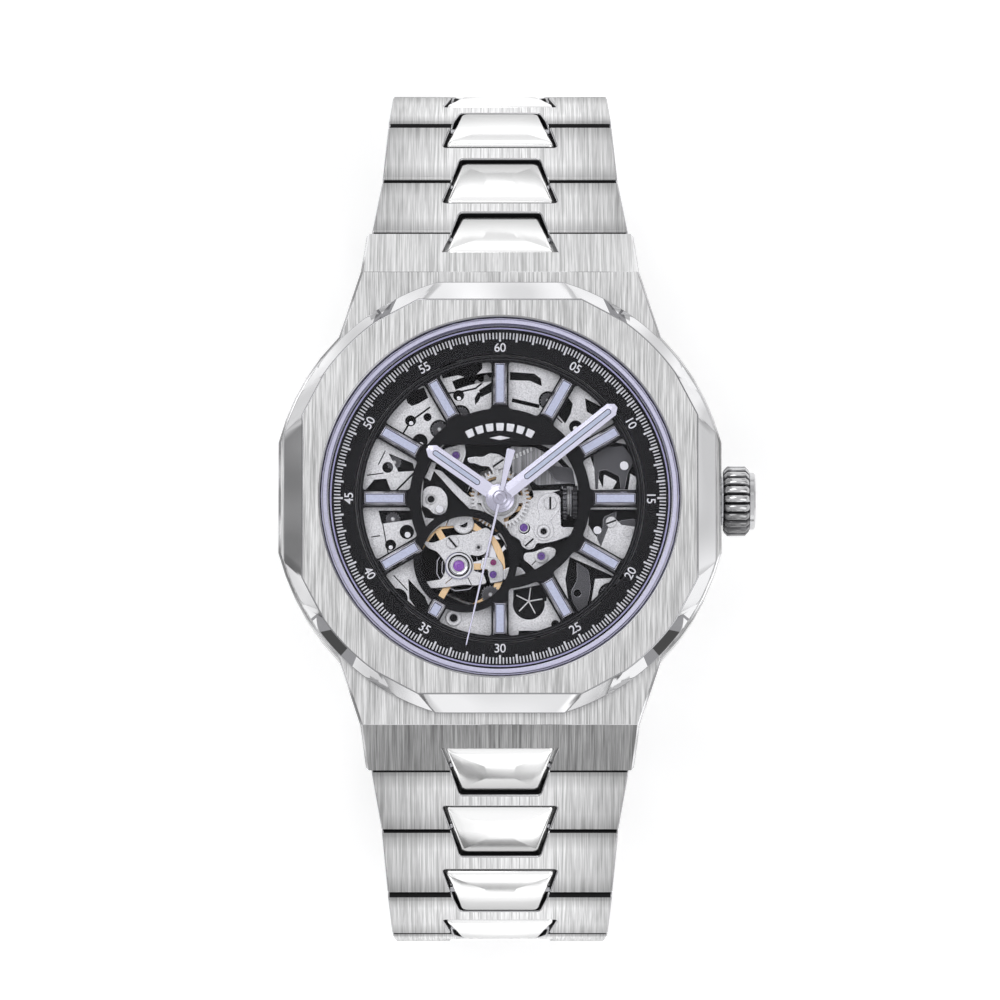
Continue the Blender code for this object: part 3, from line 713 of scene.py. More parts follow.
def framed_bar(half, inner, outer, base, height, rim):
    """The rings of a bevelled frame round a long window, from its foot up and back in."""
    def level(inset, z):
        return [(x, y, z) for x, y in bar(-half + inset, half - inset, inner + inset,
                                          outer - inset)]
    return [level(0, base), level(0, base + height * 0.45), level(rim * 0.85, base + height),
            level(rim, base + height), level(rim + 0.02, base + height * 0.72),
            level(rim + 0.02, base)]


def make_indices():
    frames, windows, wells = [], [], []
    for hour in range(1, 13):
        inner, outer = index_span(hour)
        turn = Matrix.Rotation(math.radians(-30 * hour), 3, 'Z')
        frame_rings = framed_bar(0.625, inner, outer, TOP - 1.0, 0.5, 0.21)
        for store, bm in ((frames, lofted_mesh(frame_rings, [0] * 6)),
                          (wells, plate_mesh([bar(-0.42, 0.42, inner + 0.2, outer - 0.2)],
                                             TOP - 1.0, TOP - 0.72)),
                          (windows, plate_mesh([bar(-0.345, 0.345, inner + 0.28, outer - 0.28)],
                                               TOP - 0.74, TOP - 0.60))):
            bmesh.ops.rotate(bm, cent=(0, 0, 0), matrix=turn, verts=bm.verts[:])
            store.append(bm)
    joined("index_frames", frames, INDEX_FRAME, node="dial", bevel=0.025, smooth=20)
    joined("index_wells", wells, INK, node="dial")
    joined("index_lume", windows, LUME, node="dial", bevel=0.03)


SMALL_RING = (-3.12, -5.6)


def dial_opening(hour):
    points = []
    for radius, order in ((12.45, (-1, -0.5, 0, 0.5, 1)), (8.2, (1, 0.33, -0.33, -1))):
        half = 15 - math.degrees(0.78 / radius)
        points += [clock(30 * hour - half * t, radius) for t in order]
    return rounded(points[::-1], 0.3, 3)


def make_dial():
    openings = [dial_opening(hour + 0.5) for hour in range(12)]
    chord = math.degrees(math.asin(4.9 / 7.15))
    centre = arc(7.15, 180 - chord, 360 + chord, 60)
    dial = plate("dial_plate", [circle(13.0, 144), *openings, centre], TOP - 1.4, TOP - 1.0,
                 [BLACK_AND_SHADE, GLOSS_BLACK], node="dial", bevel=0.06, bevel_slot=1)
    ring = cutter(plate_mesh([circle(4.7, 72, SMALL_RING), circle(4.0, 72, SMALL_RING)],
                             TOP - 1.4, TOP - 1.0))
    hole = cutter(plate_mesh([circle(4.0, 72, SMALL_RING)], TOP - 2, TOP))
    carve(dial, [ring], 'UNION')
    carve(dial, [hole])
    dial.modifiers.move(0, 1)
    bake(dial, [ring, hole])
    for radius, level in ((12.62, -0.97), (12.86, -0.94)):
        turned(f"dial_step_{radius:.2f}".replace(".", "_"),
               [(radius, TOP - 1.0), (radius, TOP + level), (radius + 0.05, TOP + level),
                (radius + 0.07, TOP - 1.0)], STEP_GREY, node="dial", steps=144)
    blocks = []
    for i in range(-3, 4):
        bm = plate_mesh([rounded([(-0.3, 6.15), (0.3, 6.15), (0.36, 6.85), (-0.36, 6.85)], 0.08)],
                        TOP - 1.0, TOP - 0.9)
        bmesh.ops.rotate(bm, cent=(0, 0, 0), matrix=Matrix.Rotation(math.radians(-8.2 * i), 3, 'Z'),
                         verts=bm.verts[:])
        blocks.append(bm)
    blocks.append(plate_mesh([[(-0.95, 5.5), (0, 5.3), (0.95, 5.5), (0, 5.7)]], TOP - 1.0,
                             TOP - 0.92))
    joined("dial_ornament", blocks, PRINT, node="dial", bevel=0.02)


# ---------------------------------------------------------------- hands

def hand_mesh(half, length, tip, tail, low, edge, ridge):
    """A pointed hand whose top falls from a ridge along its middle to both edges."""
    right = [(half, -tail), (half, length - tip), (0.22, length)]
    left = [(-x, y) for x, y in reversed(right)]
    bm = bmesh.new()
    floor = [bm.verts.new((x, y, low)) for x, y in right + left]
    rim = [bm.verts.new((x, y, edge)) for x, y in right + left]
    heel = bm.verts.new((0, -tail, ridge))
    nose = bm.verts.new((0, length - tip * 0.9, ridge))
    bm.faces.new(floor[::-1])
    for i in range(6):
        j = (i + 1) % 6
        if i != 5:
            bm.faces.new((floor[i], floor[j], rim[j], rim[i]))
    bm.faces.new((floor[5], floor[0], rim[0], heel, rim[5]))
    bm.faces.new((rim[0], rim[1], nose, heel))
    bm.faces.new((rim[1], rim[2], nose))
    bm.faces.new((rim[2], rim[3], nose))
    bm.faces.new((rim[3], rim[4], nose))
    bm.faces.new((rim[4], rim[5], heel, nose))
    return bm


def slot_outline(half, start, end):
    return (arc(half, 180, 360, 8, (0, start + half)) + arc(half, 0, 180, 8, (0, end - half)))


def make_hand(name, node, body, angle, half, length, levels, slot, hub):
    """A hand with a lume slot and a stepped round hub. Levels are its floor, edge and ridge."""
    turn = Matrix.Rotation(math.radians(-angle), 4, 'Z')
    low, edge, ridge = (TOP + level for level in levels)
    settle(name, hand_mesh(half, length, 0.55, 0.4, low, edge, ridge), LILAC, body, node=node,
           matrix=turn, bevel=0.02, smooth=8)
    plate(name + "_slot", [slot_outline(0.265, slot[0] - 0.07, slot[1] + 0.07)], edge,
          ridge + 0.008, INK, body, node=node, matrix=turn)
    plate(name + "_lume", [slot_outline(0.19, *slot)], edge, ridge + 0.016, LUME_HAND, body, node=node,
          matrix=turn, bevel=0.012)
    bore, step, outer = hub
    turned(name + "_hub", [(bore, low), (outer, low), (outer, edge + 0.02), (step + 0.06, edge + 0.06),
                           (step, ridge + 0.02), (bore, ridge + 0.02)], HUB, body, node=node,
           steps=64, bevel=0.015)


def make_hands():
    make_hand("hour_hand_body", "hour_hand", "hour_train", 304.9, 0.66, 8.0, (-0.5, -0.34, -0.27),
              (2.3, 7.3), (0.93, 1.1, 1.3))
    make_hand("minute_hand_body", "minute_hand", "minute_train", 51.5, 0.65, 13.4,
              (-0.13, 0.03, 0.1), (2.9, 12.7), (0.56, 0.8, 1.06))
    turn = Matrix.Rotation(math.radians(-192.9), 4, 'Z')
    outline = [(-0.16, -0.4), (-0.40, -4.4), (-0.30, -4.52), (0.30, -4.52), (0.40, -4.4),
               (0.16, -0.4), (0.13, 0.5), (0.075, 13.7), (-0.075, 13.7), (-0.13, 0.5)]
    plate("seconds_hand_body", [outline], TOP + 0.27, TOP + 0.42, LILAC, "seconds_train",
          node="seconds_hand", matrix=turn, bevel=0.05, smooth=20)
    turned("seconds_hand_hub", [(0, TOP + 0.26), (0.63, TOP + 0.26), (0.63, TOP + 0.43),
                                (0.5, TOP + 0.5), (0.28, TOP + 0.5), (0.25, TOP + 0.46),
                                (0, TOP + 0.46)], HUB, "seconds_train", node="seconds_hand",
           steps=48, bevel=0.015)


INDEX_FRAME = polished("index_frame", (0.96, 0.95, 1.0), 0.18)
HUB = polished("hand_hub", (0.50, 0.49, 0.57), 0.2)
INK = matte("line_ink", (0.03, 0.03, 0.07), 0.4)
GLOSS_BLACK = matte("dial_edge_black", (0.012, 0.012, 0.014), 0.22, 3000, 0.0, 0.5)
STEP_GREY = matte("dial_step_grey", (0.05, 0.05, 0.053), 0.35, 3000, 0.0, 0.3)

make_minute_marks()
make_numbers()
make_dial()
make_indices()
make_hands()


# ---------------------------------------------------------------- bracelet

LINK_WIDTHS = (23.4, 21.6, 20.6, 19.9, 19.4, 19.0, 18.6, 18.3, 18.0)
PITCH = 7.0
END_SLOPE = 48.0
PIECE_GAP = 0.2


def hinge(label, index):
    """(y, z) of a link's near hinge, on the side y > 0, from its joint in the record."""
    name = f"link_{label}_{index + 1}_hinge" if index < 8 else "clasp_hinge"
    x, y, z = JOINTS[name]["pos_m"]
    return abs(y) / MM, z / MM


def slope_between(a, b):
    return math.degrees(math.atan2(a[1] - b[1], b[0] - a[0]))


HINGES = [hinge("12", i) for i in range(9)]
SLOPES = [END_SLOPE] + [slope_between(a, b) for a, b in zip(HINGES, HINGES[1:])] + [180.0]


def link_frame(point, slope, side):
    """Link frame in metres: y along the link, z out of its outer face."""
    turn = Matrix.Rotation(math.pi, 4, 'Z') if side < 0 else Matrix.Identity(4)
    place = Matrix.Translation(Vector((0, side * point[0], point[1])) * MM)
    return place @ turn @ Matrix.Rotation(-math.radians(slope), 4, 'X')


def trapezoid(near, far, margin, corner=0.0):
    """A centre piece's outline about its hinge, wide towards the case."""
    lean = 0.75 / 2.6
    points = [(-(4.25 + lean * near + margin), -near), (4.25 + lean * near + margin, -near),
              (4.25 - lean * far + margin, far), (-(4.25 - lean * far + margin), far)]
    return rounded(points, corner, 5) if corner else points


def link_profile():
    """(y, z) outline: a rolled near edge, a flat outer face and a softly broken far edge."""
    near = [(0.1 + 0.75 * (1 - math.cos(math.radians(a))), 0.9 - 0.75 * (1 - math.sin(
        math.radians(a)))) for a in range(0, 91, 10)]
    far = [(PITCH - 0.1 - 0.22 * (1 - math.sin(math.radians(a))),
            0.9 - 0.22 * (1 - math.cos(math.radians(a)))) for a in (0, 30, 60, 90)]
    return near + far + [(PITCH - 0.1, 0), (PITCH - 0.7, -1.85), (PITCH - 0.85, -2.0),
                         (0.85, -2.0), (0.7, -1.85), (0.1, 0)]


def make_link_plate(label, side, index):
    body = f"link_{label}_{index + 1}"
    matrix = link_frame(HINGES[index], SLOPES[index + 1], side)
    bm = across_mesh(link_profile()[::-1], LINK_WIDTHS[index] / 2, LINK_WIDTHS[index + 1] / 2)
    piece = settle(body + "_plate", bm, [STEEL, POLISH_EDGE_SHADED, PAINTED_SHADE], body, node=body,
                   matrix=matrix, bevel=0.14, bevel_slot=1, segments=3, smooth=32)
    before, after = SLOPES[index], SLOPES[index + 1]
    near = cutter(plate_mesh([trapezoid(2.6 + PIECE_GAP, 2.6 + PIECE_GAP, PIECE_GAP, 0.35)],
                             -4, 4), link_frame(HINGES[index], (before + after) / 2, side))
    tools = [near]
    if index < 7 or side > 0:
        tools.append(cutter(plate_mesh([trapezoid(2.6 + PIECE_GAP, 2.6, PIECE_GAP, 0.35)],
                                       -4, 4), link_frame(HINGES[index + 1],
                                                          (after + SLOPES[index + 2]) / 2, side)))
    # painted shade: the walls of the notches take the near-black material
    for tool in tools:
        tool.data.materials.clear()
        tool.data.materials.append(PAINTED_SHADE)
    # painted shade: the rolled near end and the far edge of each link take the near-black slot
    for face in piece.data.polygons:
        near_end = face.center.y < 0.34 * MM
        if face.normal.z > -0.5 and abs(face.normal.x) < 0.5:
            if near_end or face.center.y > (PITCH - 0.14) * MM:
                face.material_index = 2
    carve(piece, tools)
    bake(piece, tools)


def make_centre_piece(body, node, label, side, index):
    """A domed polished piece over a hinge, with a chamfered top and a foot that clears the links."""
    before, after = SLOPES[index], SLOPES[index + 1]
    sink = 1.5 * math.tan(math.radians(max(after - before, 0) / 2))
    rim = trapezoid(2.6, 2.6, 0, 0.42)
    bm = bmesh.new()
    loops = []
    foot = {1.4: -1.2, 1.3: -0.3}
    for scale, drop in ((0.78, 1.4), (1.0, 1.3), (1.0, 0.34), (0.995, 0.25), (0.975, 0.10),
                        (0.95, 0.03), (0.90, 0.0), (0.75, 0.0), (0.55, 0.0), (0.3, 0.0)):
        loop = []
        for x, y in rim:
            x, y = x * scale, y * scale
            height = 1.05 - 0.30 * (y / 2.6) ** 2 - 0.05 * (x / 5) ** 2
            level = foot.get(drop, height - drop)
            loop.append(bm.verts.new((x, y, level - sink)))
        loops.append(loop)
    for a, b in zip(loops, loops[1:]):
        for i in range(len(a)):
            j = (i + 1) % len(a)
            bm.faces.new((a[i], a[j], b[j], b[i]))
    bm.faces.new(loops[-1])
    bm.faces.new(loops[0][::-1])
    settle(f"centre_piece_{label}_{index + 1}", bm, CENTRE_PAINTED_REFLECTION[label], body, node=node,
           matrix=link_frame(HINGES[index], (before + after) / 2, side), smooth=40)


def make_bracelet():
    for label, side in (("12", 1), ("6", -1)):
        for index in range(8):
            make_link_plate(label, side, index)
            body = f"link_{label}_{index + 1}"
            make_centre_piece(body, body, label, side, index)
            half = LINK_WIDTHS[index] / 2 - 0.35
            pin = bmesh.new()
            ends = circle(0.32, 20)
            rings = [[(x, a, b) for a, b in ends] for x in (-half, half)]
            loops = [[pin.verts.new(p) for p in ring] for ring in rings]
            for i in range(20):
                j = (i + 1) % 20
                pin.faces.new((loops[0][i], loops[0][j], loops[1][j], loops[1][i]))
            pin.faces.new(loops[0][::-1])
            pin.faces.new(loops[1])
            settle(f"hinge_pin_{label}_{index + 1}", pin, POLISH_DARK, body, node=body,
                   matrix=link_frame(HINGES[index], SLOPES[index + 1], side), bevel=0.06)


def make_clasp():
    cover = from_cad("clasp_cover", [STEEL_TOP, POLISH], "clasp_cover", 0.25, lambda e: 1.0, slot=1)
    for node, body in (("clasp_outer_blade", "outer_blade"), ("clasp_inner_blade", "inner_blade")):
        from_cad(node, [POLISH, POLISH], body, 0.08, slot=1)
    for side in ("left", "right"):
        from_cad(f"push_button_{side}", [POLISH, POLISH], f"button_{side}", 0.18, slot=1,
                 segments=3)
    return cover


# a darker copy of polished steel on the links' bevels: painted shade along their edges
POLISH_EDGE_SHADED = polished("steel_edge_painted_shade", (0.46, 0.46, 0.47), 0.14)
# painted reflection on the domed centre pieces, with its own copy on each side of the case
CENTRE_PAINTED_REFLECTION = {"12": graded("steel_centre_upper_painted_reflection",
                       [(0.0, 0.92), (0.45, 0.90), (0.72, 0.62), (1.0, 0.36)]),
          "6": graded("steel_centre_lower_painted_reflection",
                      [(0.0, 0.95), (0.5, 1.0), (0.72, 0.62), (1.0, 0.42)])}

make_bracelet()
make_clasp()


# ---------------------------------------------------------------- movement, dial side

FLOOR_LEVEL = TOP - 2.78
FACE = TOP - 2.1
SHIFT_TO_BALANCE = Matrix.Translation(Vector((*BALANCE, 0)) * MM)


def disc(x, y, radius, count=28):
    return circle(radius, count, (x, y))


CLEAR_OF_PLATE = disc(30, 30, 1)  # stands in for a cut where a sheet has none


def strip(x0, y0, x1, y1, width=0.16):
    """A narrow slot from one point to another."""
    along = Vector((x1 - x0, y1 - y0)).normalized() * width / 2
    side = Vector((-along.y, along.x))
    a, b = Vector((x0, y0)) - along, Vector((x1, y1)) + along
    return [tuple(a - side), tuple(b - side), tuple(b + side), tuple(a + side)]


def cut_plate(name, outline, cuts, bottom, top, materials, node, bevel=0.08):
    """A plate with overlapping cuts, each an outline, and fine bright edges."""
    piece = settle(name, plate_mesh([outline], bottom, top), materials, "case", node=node,
                   bevel=bevel, bevel_slot=1, segments=2, smooth=35)
    meshes = [plate_mesh([cut], bottom - 0.4, top + 0.4) for cut in cuts]
    tool = joined("cutter", meshes, materials[2], None)
    step = piece.modifiers.new("cut", 'BOOLEAN')
    step.object = tool
    step.operation = 'DIFFERENCE'
    step.solver = 'EXACT'
    step.use_self = True
    piece.modifiers.move(len(piece.modifiers) - 1, 0)
    bake(piece, [tool])
    return piece


def gear_windows():
    """The openings of the main plate over the centre, the balance, the barrel and the setting."""
    return [disc(0, 0, 3.05, 64), disc(-3.2, -5.85, 4.1, 64),
            arc(11.6, 86, 112, 8) + arc(10.75, 112, 86, 8),
            bar(5.6, 7.15, -2.35, 1.25)]


def upper_cuts():
    """Holes, slots and recesses of the plate from 9 round to 3 o'clock."""
    holes = [disc(-3.75, 9.45, 0.5), disc(-8.1, 7.15, 0.5), disc(-6.57, 7.49, 0.37),
             disc(-7.25, 5.27, 0.7), disc(-5.5, 6.4, 0.85), disc(-10.17, 2.92, 0.5),
             disc(-3.6, 7.7, 0.9), disc(4.35, 9.0, 0.85), disc(6.85, 6.6, 0.6),
             disc(-4.07, 4.1, 0.75), disc(1.0, 5.6, 0.5)]
    slots = [strip(-4.75, 9.65, -3.3, 9.85), strip(-3.3, 9.85, -2.2, 10.1),
             strip(-2.2, 10.1, -0.7, 11.4), strip(-6.4, 8.35, -7.7, 7.4),
             strip(-8.35, 6.7, -8.9, 5.8), strip(-9.3, 0.9, -7.6, 2.6),
             strip(1.25, 9.0, 3.4, 8.5, 0.35), strip(4.6, 8.0, 5.6, 7.0, 0.12),
             strip(-11.0, 3.2, -10.4, 4.4, 0.1), strip(-12.0, 2.2, -10.6, 2.4, 0.1)]
    recesses = [[(-5.6, 12.4), (-5.2, 11.0), (-3.8, 11.3), (-2.8, 11.0), (-2.2, 11.3),
                 (-1.6, 11.9), (-1.6, 12.7)],
                [(-1.9, 9.95), (-0.7, 10.7), (-0.7, 9.8), (-1.7, 9.3)],
                [(-2.3, 9.2), (-2.0, 9.75), (-1.6, 9.7), (-1.9, 9.0), (-2.25, 8.6)],
                [(-8.6, 9.6), (-8.4, 8.8), (-8.0, 8.5), (-7.4, 8.7), (-6.5, 9.25), (-6.9, 10.2)],
                [(-10.1, 4.2), (-7.9, 3.3), (-7.7, 2.6), (-9.2, 2.5), (-9.4, 2.9)],
                [(-12.4, 0.6), (-11.4, 1.8), (-10.3, 1.9), (-9.8, 0.6)],
                [(0.9, 11.6), (3.1, 11.45), (3.7, 11.0), (3.8, 10.3), (2.7, 10.8), (0.9, 10.85)],
                [(6.1, 9.4), (6.6, 8.7), (6.4, 7.8), (5.9, 6.9), (5.0, 8.0)],
                [(7.7, 9.2), (9.5, 8.3), (8.7, 7.5), (7.85, 8.0)],
                [(7.6, 5.7), (11.6, 5.0), (12.4, 3.4), (12.4, 0.9), (9.4, 0.9), (8.6, 2.6)],
                [(-0.6, 5.4), (2.8, 5.4), (5.0, 4.4), (6.6, 2.6), (6.9, 0.9), (3.0, 0.8), (2.0, 1.5),
                 (-0.6, 2.5)],
                [(-6.9, 2.2), (-6.1, 3.9), (-5.0, 5.0), (-3.2, 5.6), (-0.3, 5.4), (-0.3, 2.6),
                 (-1.8, 2.0), (-2.6, 1.0), (-2.5, -0.9), (-3.3, -2.3), (-6.5, -2.3),
                 (-7.1, -0.9)]]
    return holes + slots + recesses


def lower_cuts():
    """Holes, slots and recesses of the plate from 3 round to 9 o'clock."""
    holes = [disc(-9.9, -4.13, 0.5), disc(-8.43, -2.94, 0.65), disc(-9.3, -9.0, 0.95),
             disc(-0.87, -8.6, 0.95), disc(2.6, -9.45, 1.45, 40), disc(5.0, -11.3, 0.37),
             disc(9.97, -8.63, 1.1), disc(11.0, -7.0, 0.3)]
    slots = [strip(-10.8, -1.2, -10.1, -5.0, 0.1), strip(-11.6, -3.4, -10.9, -3.3, 0.1),
             strip(-9.6, -6.9, -8.4, -8.2, 0.1), strip(5.2, -9.2, 6.2, -10.2, 0.12)]
    recesses = [[(-11.0, -1.0), (-7.9, -1.0), (-7.8, -1.8), (-10.7, -2.2)],
                [(0.3, -1.6), (2.4, 0.0), (5.6, 0.9), (6.9, -2.3), (6.6, -3.2), (5.4, -5.4),
                 (2.6, -7.0), (0.2, -7.2), (0.6, -4.2), (0.1, -3.0)],
                [(-8.3, -7.2), (-6.8, -8.8), (-6.2, -10.2), (-7.2, -10.4), (-8.2, -9.0)],
                [(8.1, -0.9), (12.4, -0.9), (12.4, -2.5), (11.0, -2.3), (10.2, -1.5), (9.0, -4.6),
                 (7.9, -3.4)],
                [(6.3, -5.2), (10.6, -7.1), (8.6, -7.2), (8.2, -9.6), (7.3, -10.8), (6.2, -9.3),
                 (5.9, -7.2)],
                [(1.7, -11.9), (3.5, -11.9), (3.7, -12.6), (1.6, -12.6)],
                [(1.2, -8.2), (4.3, -7.6), (4.2, -9.2), (1.2, -9.6)]]
    return holes + slots + recesses


def make_main_plate():
    windows = gear_windows()
    floor = [circle(13.2, 96), *windows]
    # painted shade: a near-black floor seen through the plate's openings
    plate("main_plate_floor", floor, TOP - 2.89, FLOOR_LEVEL, PAINTED_SHADE, node="main_plate")
    cut_plate("main_plate_face", circle(13.25, 120),
              windows + upper_cuts() + lower_cuts(), FLOOR_LEVEL + 0.01, FACE,
              [SILVER, BRIGHT_EDGE, BLACK_AND_SHADE], "main_plate")


def pin_mesh(x, y, radius, low, high):
    return plate_mesh([disc(x, y, radius, 20)], low, high)


def make_pins():
    places = [(-3.72, 9.2, 0.22), (-8.05, 6.95, 0.22), (-7.2, 4.95, 0.3), (-9.88, -4.35, 0.22),
              (-8.35, -3.2, 0.3), (1.0, 5.5, 0.22), (6.85, 6.45, 0.25)]
    pins = [pin_mesh(x, y, r, FLOOR_LEVEL, FACE - 0.15) for x, y, r in places]
    studs = [(11.25, 3.06, 0.42), (8.82, -2.8, 0.38), (-5.45, -0.9, 0.38)]
    pins += [pin_mesh(x, y, r, FLOOR_LEVEL, FACE + 0.2) for x, y, r in studs]
    joined("plate_pins", pins, POLISH, node="main_plate", bevel=0.06, segments=3)


def make_screw(name, x, y, radius, angle, height=0.24, level=None, body="case", down=False):
    """A slotted screw head with a chamfered rim; the floor of its slot is painted black as shade."""
    low = FACE if level is None else level
    sign = -1 if down else 1
    half_slot = radius * 0.13
    start = math.degrees(math.atan2(half_slot, math.sqrt(radius ** 2 - half_slot ** 2)))
    halves = [plate_mesh([[(px, side * py) for px, py in arc(radius, start, 180 - start, 18)]],
                         0, height) for side in (-1, 1)]
    bm = merged([*halves, plate_mesh([circle(radius, 36)], 0, height * 0.45)])
    if down:
        bmesh.ops.scale(bm, vec=(1, 1, sign), verts=bm.verts[:])
    bmesh.ops.rotate(bm, cent=(0, 0, 0), matrix=Matrix.Rotation(math.radians(angle), 3, 'Z'),
                     verts=bm.verts[:])
    bmesh.ops.translate(bm, vec=(x, y, low), verts=bm.verts[:])
    piece = settle(name, bm, [SCREW_STEEL, BLACK_AND_SHADE], body,
                   node="main_plate" if body == "case" else None, bevel=radius * 0.1, segments=2)
    # painted shade: the slot's floor takes the black slot
    flat = low * MM + sign * height * 0.45 * MM
    for face in piece.data.polygons:
        if abs(face.center.z - flat) < 0.001 * MM:
            face.material_index = 1
    return piece


def make_jewel(name, x, y, radius, colour, seat, level=None, node="main_plate"):
    """A domed jewel in a bright sunk ring."""
    low = FACE if level is None else level
    ring = turned(name + "_seat", [(radius, low - 0.1), (seat, low - 0.1), (seat, low + 0.1),
                                   (seat - 0.07, low + 0.14), (radius + 0.1, low + 0.14),
                                   (radius, low + 0.02)], SILVER_BRIGHT, node=node, steps=40)
    stone = turned(name, [(0, low - 0.08), (radius - 0.01, low - 0.08), (radius - 0.01, low + 0.02),
                          (radius * 0.8, low + 0.08), (radius * 0.3, low + 0.10),
                          (radius * 0.22, low + 0.03), (0, low + 0.03)], colour, node=node,
                   steps=40)
    for piece in (ring, stone):
        shift = Matrix.Translation(Vector((x, y, 0)) * MM)
        piece.data.transform(shift)


def bush(name, x, y, inner, outer, level, height=0.15):
    """A turned ring with its middle painted black as shade."""
    piece = turned(name, [(inner, level), (outer, level), (outer, level + height * 0.6),
                          (outer - 0.08, level + height), (inner + 0.08, level + height),
                          (inner, level + height * 0.5)], SILVER_BRIGHT, node="main_plate",
                   steps=40)
    painted_shade_core = turned(name + "_core", [(0, level), (inner, level), (inner, level + height * 0.3),
                                   (0, level + height * 0.3)], BLACK_AND_SHADE, node="main_plate", steps=24)
    for item in (piece, painted_shade_core):
        item.data.transform(Matrix.Translation(Vector((x, y, 0)) * MM))


def make_levers():
    """The dark setting levers, springs and plates near the crown."""
    shapes = [rounded([(6.9, -5.6), (8.05, -6.4), (8.25, -8.0), (7.95, -9.5), (7.3, -10.5),
                       (6.55, -9.3), (6.35, -8.4), (6.95, -7.3)], 0.3),
              rounded([(9.3, -1.6), (10.6, -1.0), (10.4, -2.6), (10.1, -4.8), (9.3, -4.6),
                       (8.7, -3.4), (9.3, -2.6)], 0.3),
              rounded([(10.7, -1.9), (12.3, -1.7), (12.3, -3.2), (11.2, -3.3), (10.9, -2.9)], 0.3),
              rounded([(8.4, 4.7), (11.2, 4.9), (12.2, 3.5), (11.6, 2.4), (11.3, 0.9), (10.9, 0.9),
                       (10.8, 2.1), (9.6, 2.7), (9.0, 2.6), (8.9, 0.9), (8.6, 0.9), (8.5, 2.8)],
                      0.2),
              rounded([(4.1, 3.1), (6.5, 2.9), (6.8, 1.4), (5.0, 1.7)], 0.2)]
    holes = {0: [disc(7.0, -8.47, 0.33)]}
    for i, shape in enumerate(shapes):
        plate(f"setting_lever_{i + 1}", [shape, *holes.get(i, [])], FACE - 0.45 + 0.04 * i,
              FACE - 0.08 + 0.03 * i, [LEVER_GREY, LEVER_EDGE], node="main_plate", bevel=0.05,
              bevel_slot=1)
    silver = [rounded([(10.05, -2.7), (11.0, -3.4), (11.9, -3.6), (12.4, -3.4), (12.3, -4.4),
                       (10.05, -5.0)], 0.15),
              rounded([(8.0, 2.3), (8.4, 2.2), (8.9, 0.8), (8.2, 0.8)], 0.1),
              rounded([(11.8, 2.4), (12.4, 2.0), (12.3, 0.9), (11.6, 0.9)], 0.1),
              rounded([(9.4, 2.3), (10.6, 1.7), (10.2, 0.9), (9.3, 0.9)], 0.15),
              rounded([(8.0, -2.3), (8.5, -3.1), (9.4, -4.0), (9.1, -4.4), (7.9, -3.6)], 0.12)]
    for i, shape in enumerate(silver):
        plate(f"setting_plate_{i + 1}", [shape], FACE - 0.5, FACE - 0.12, [SILVER, BRIGHT_EDGE],
              node="main_plate", bevel=0.05, bevel_slot=1)


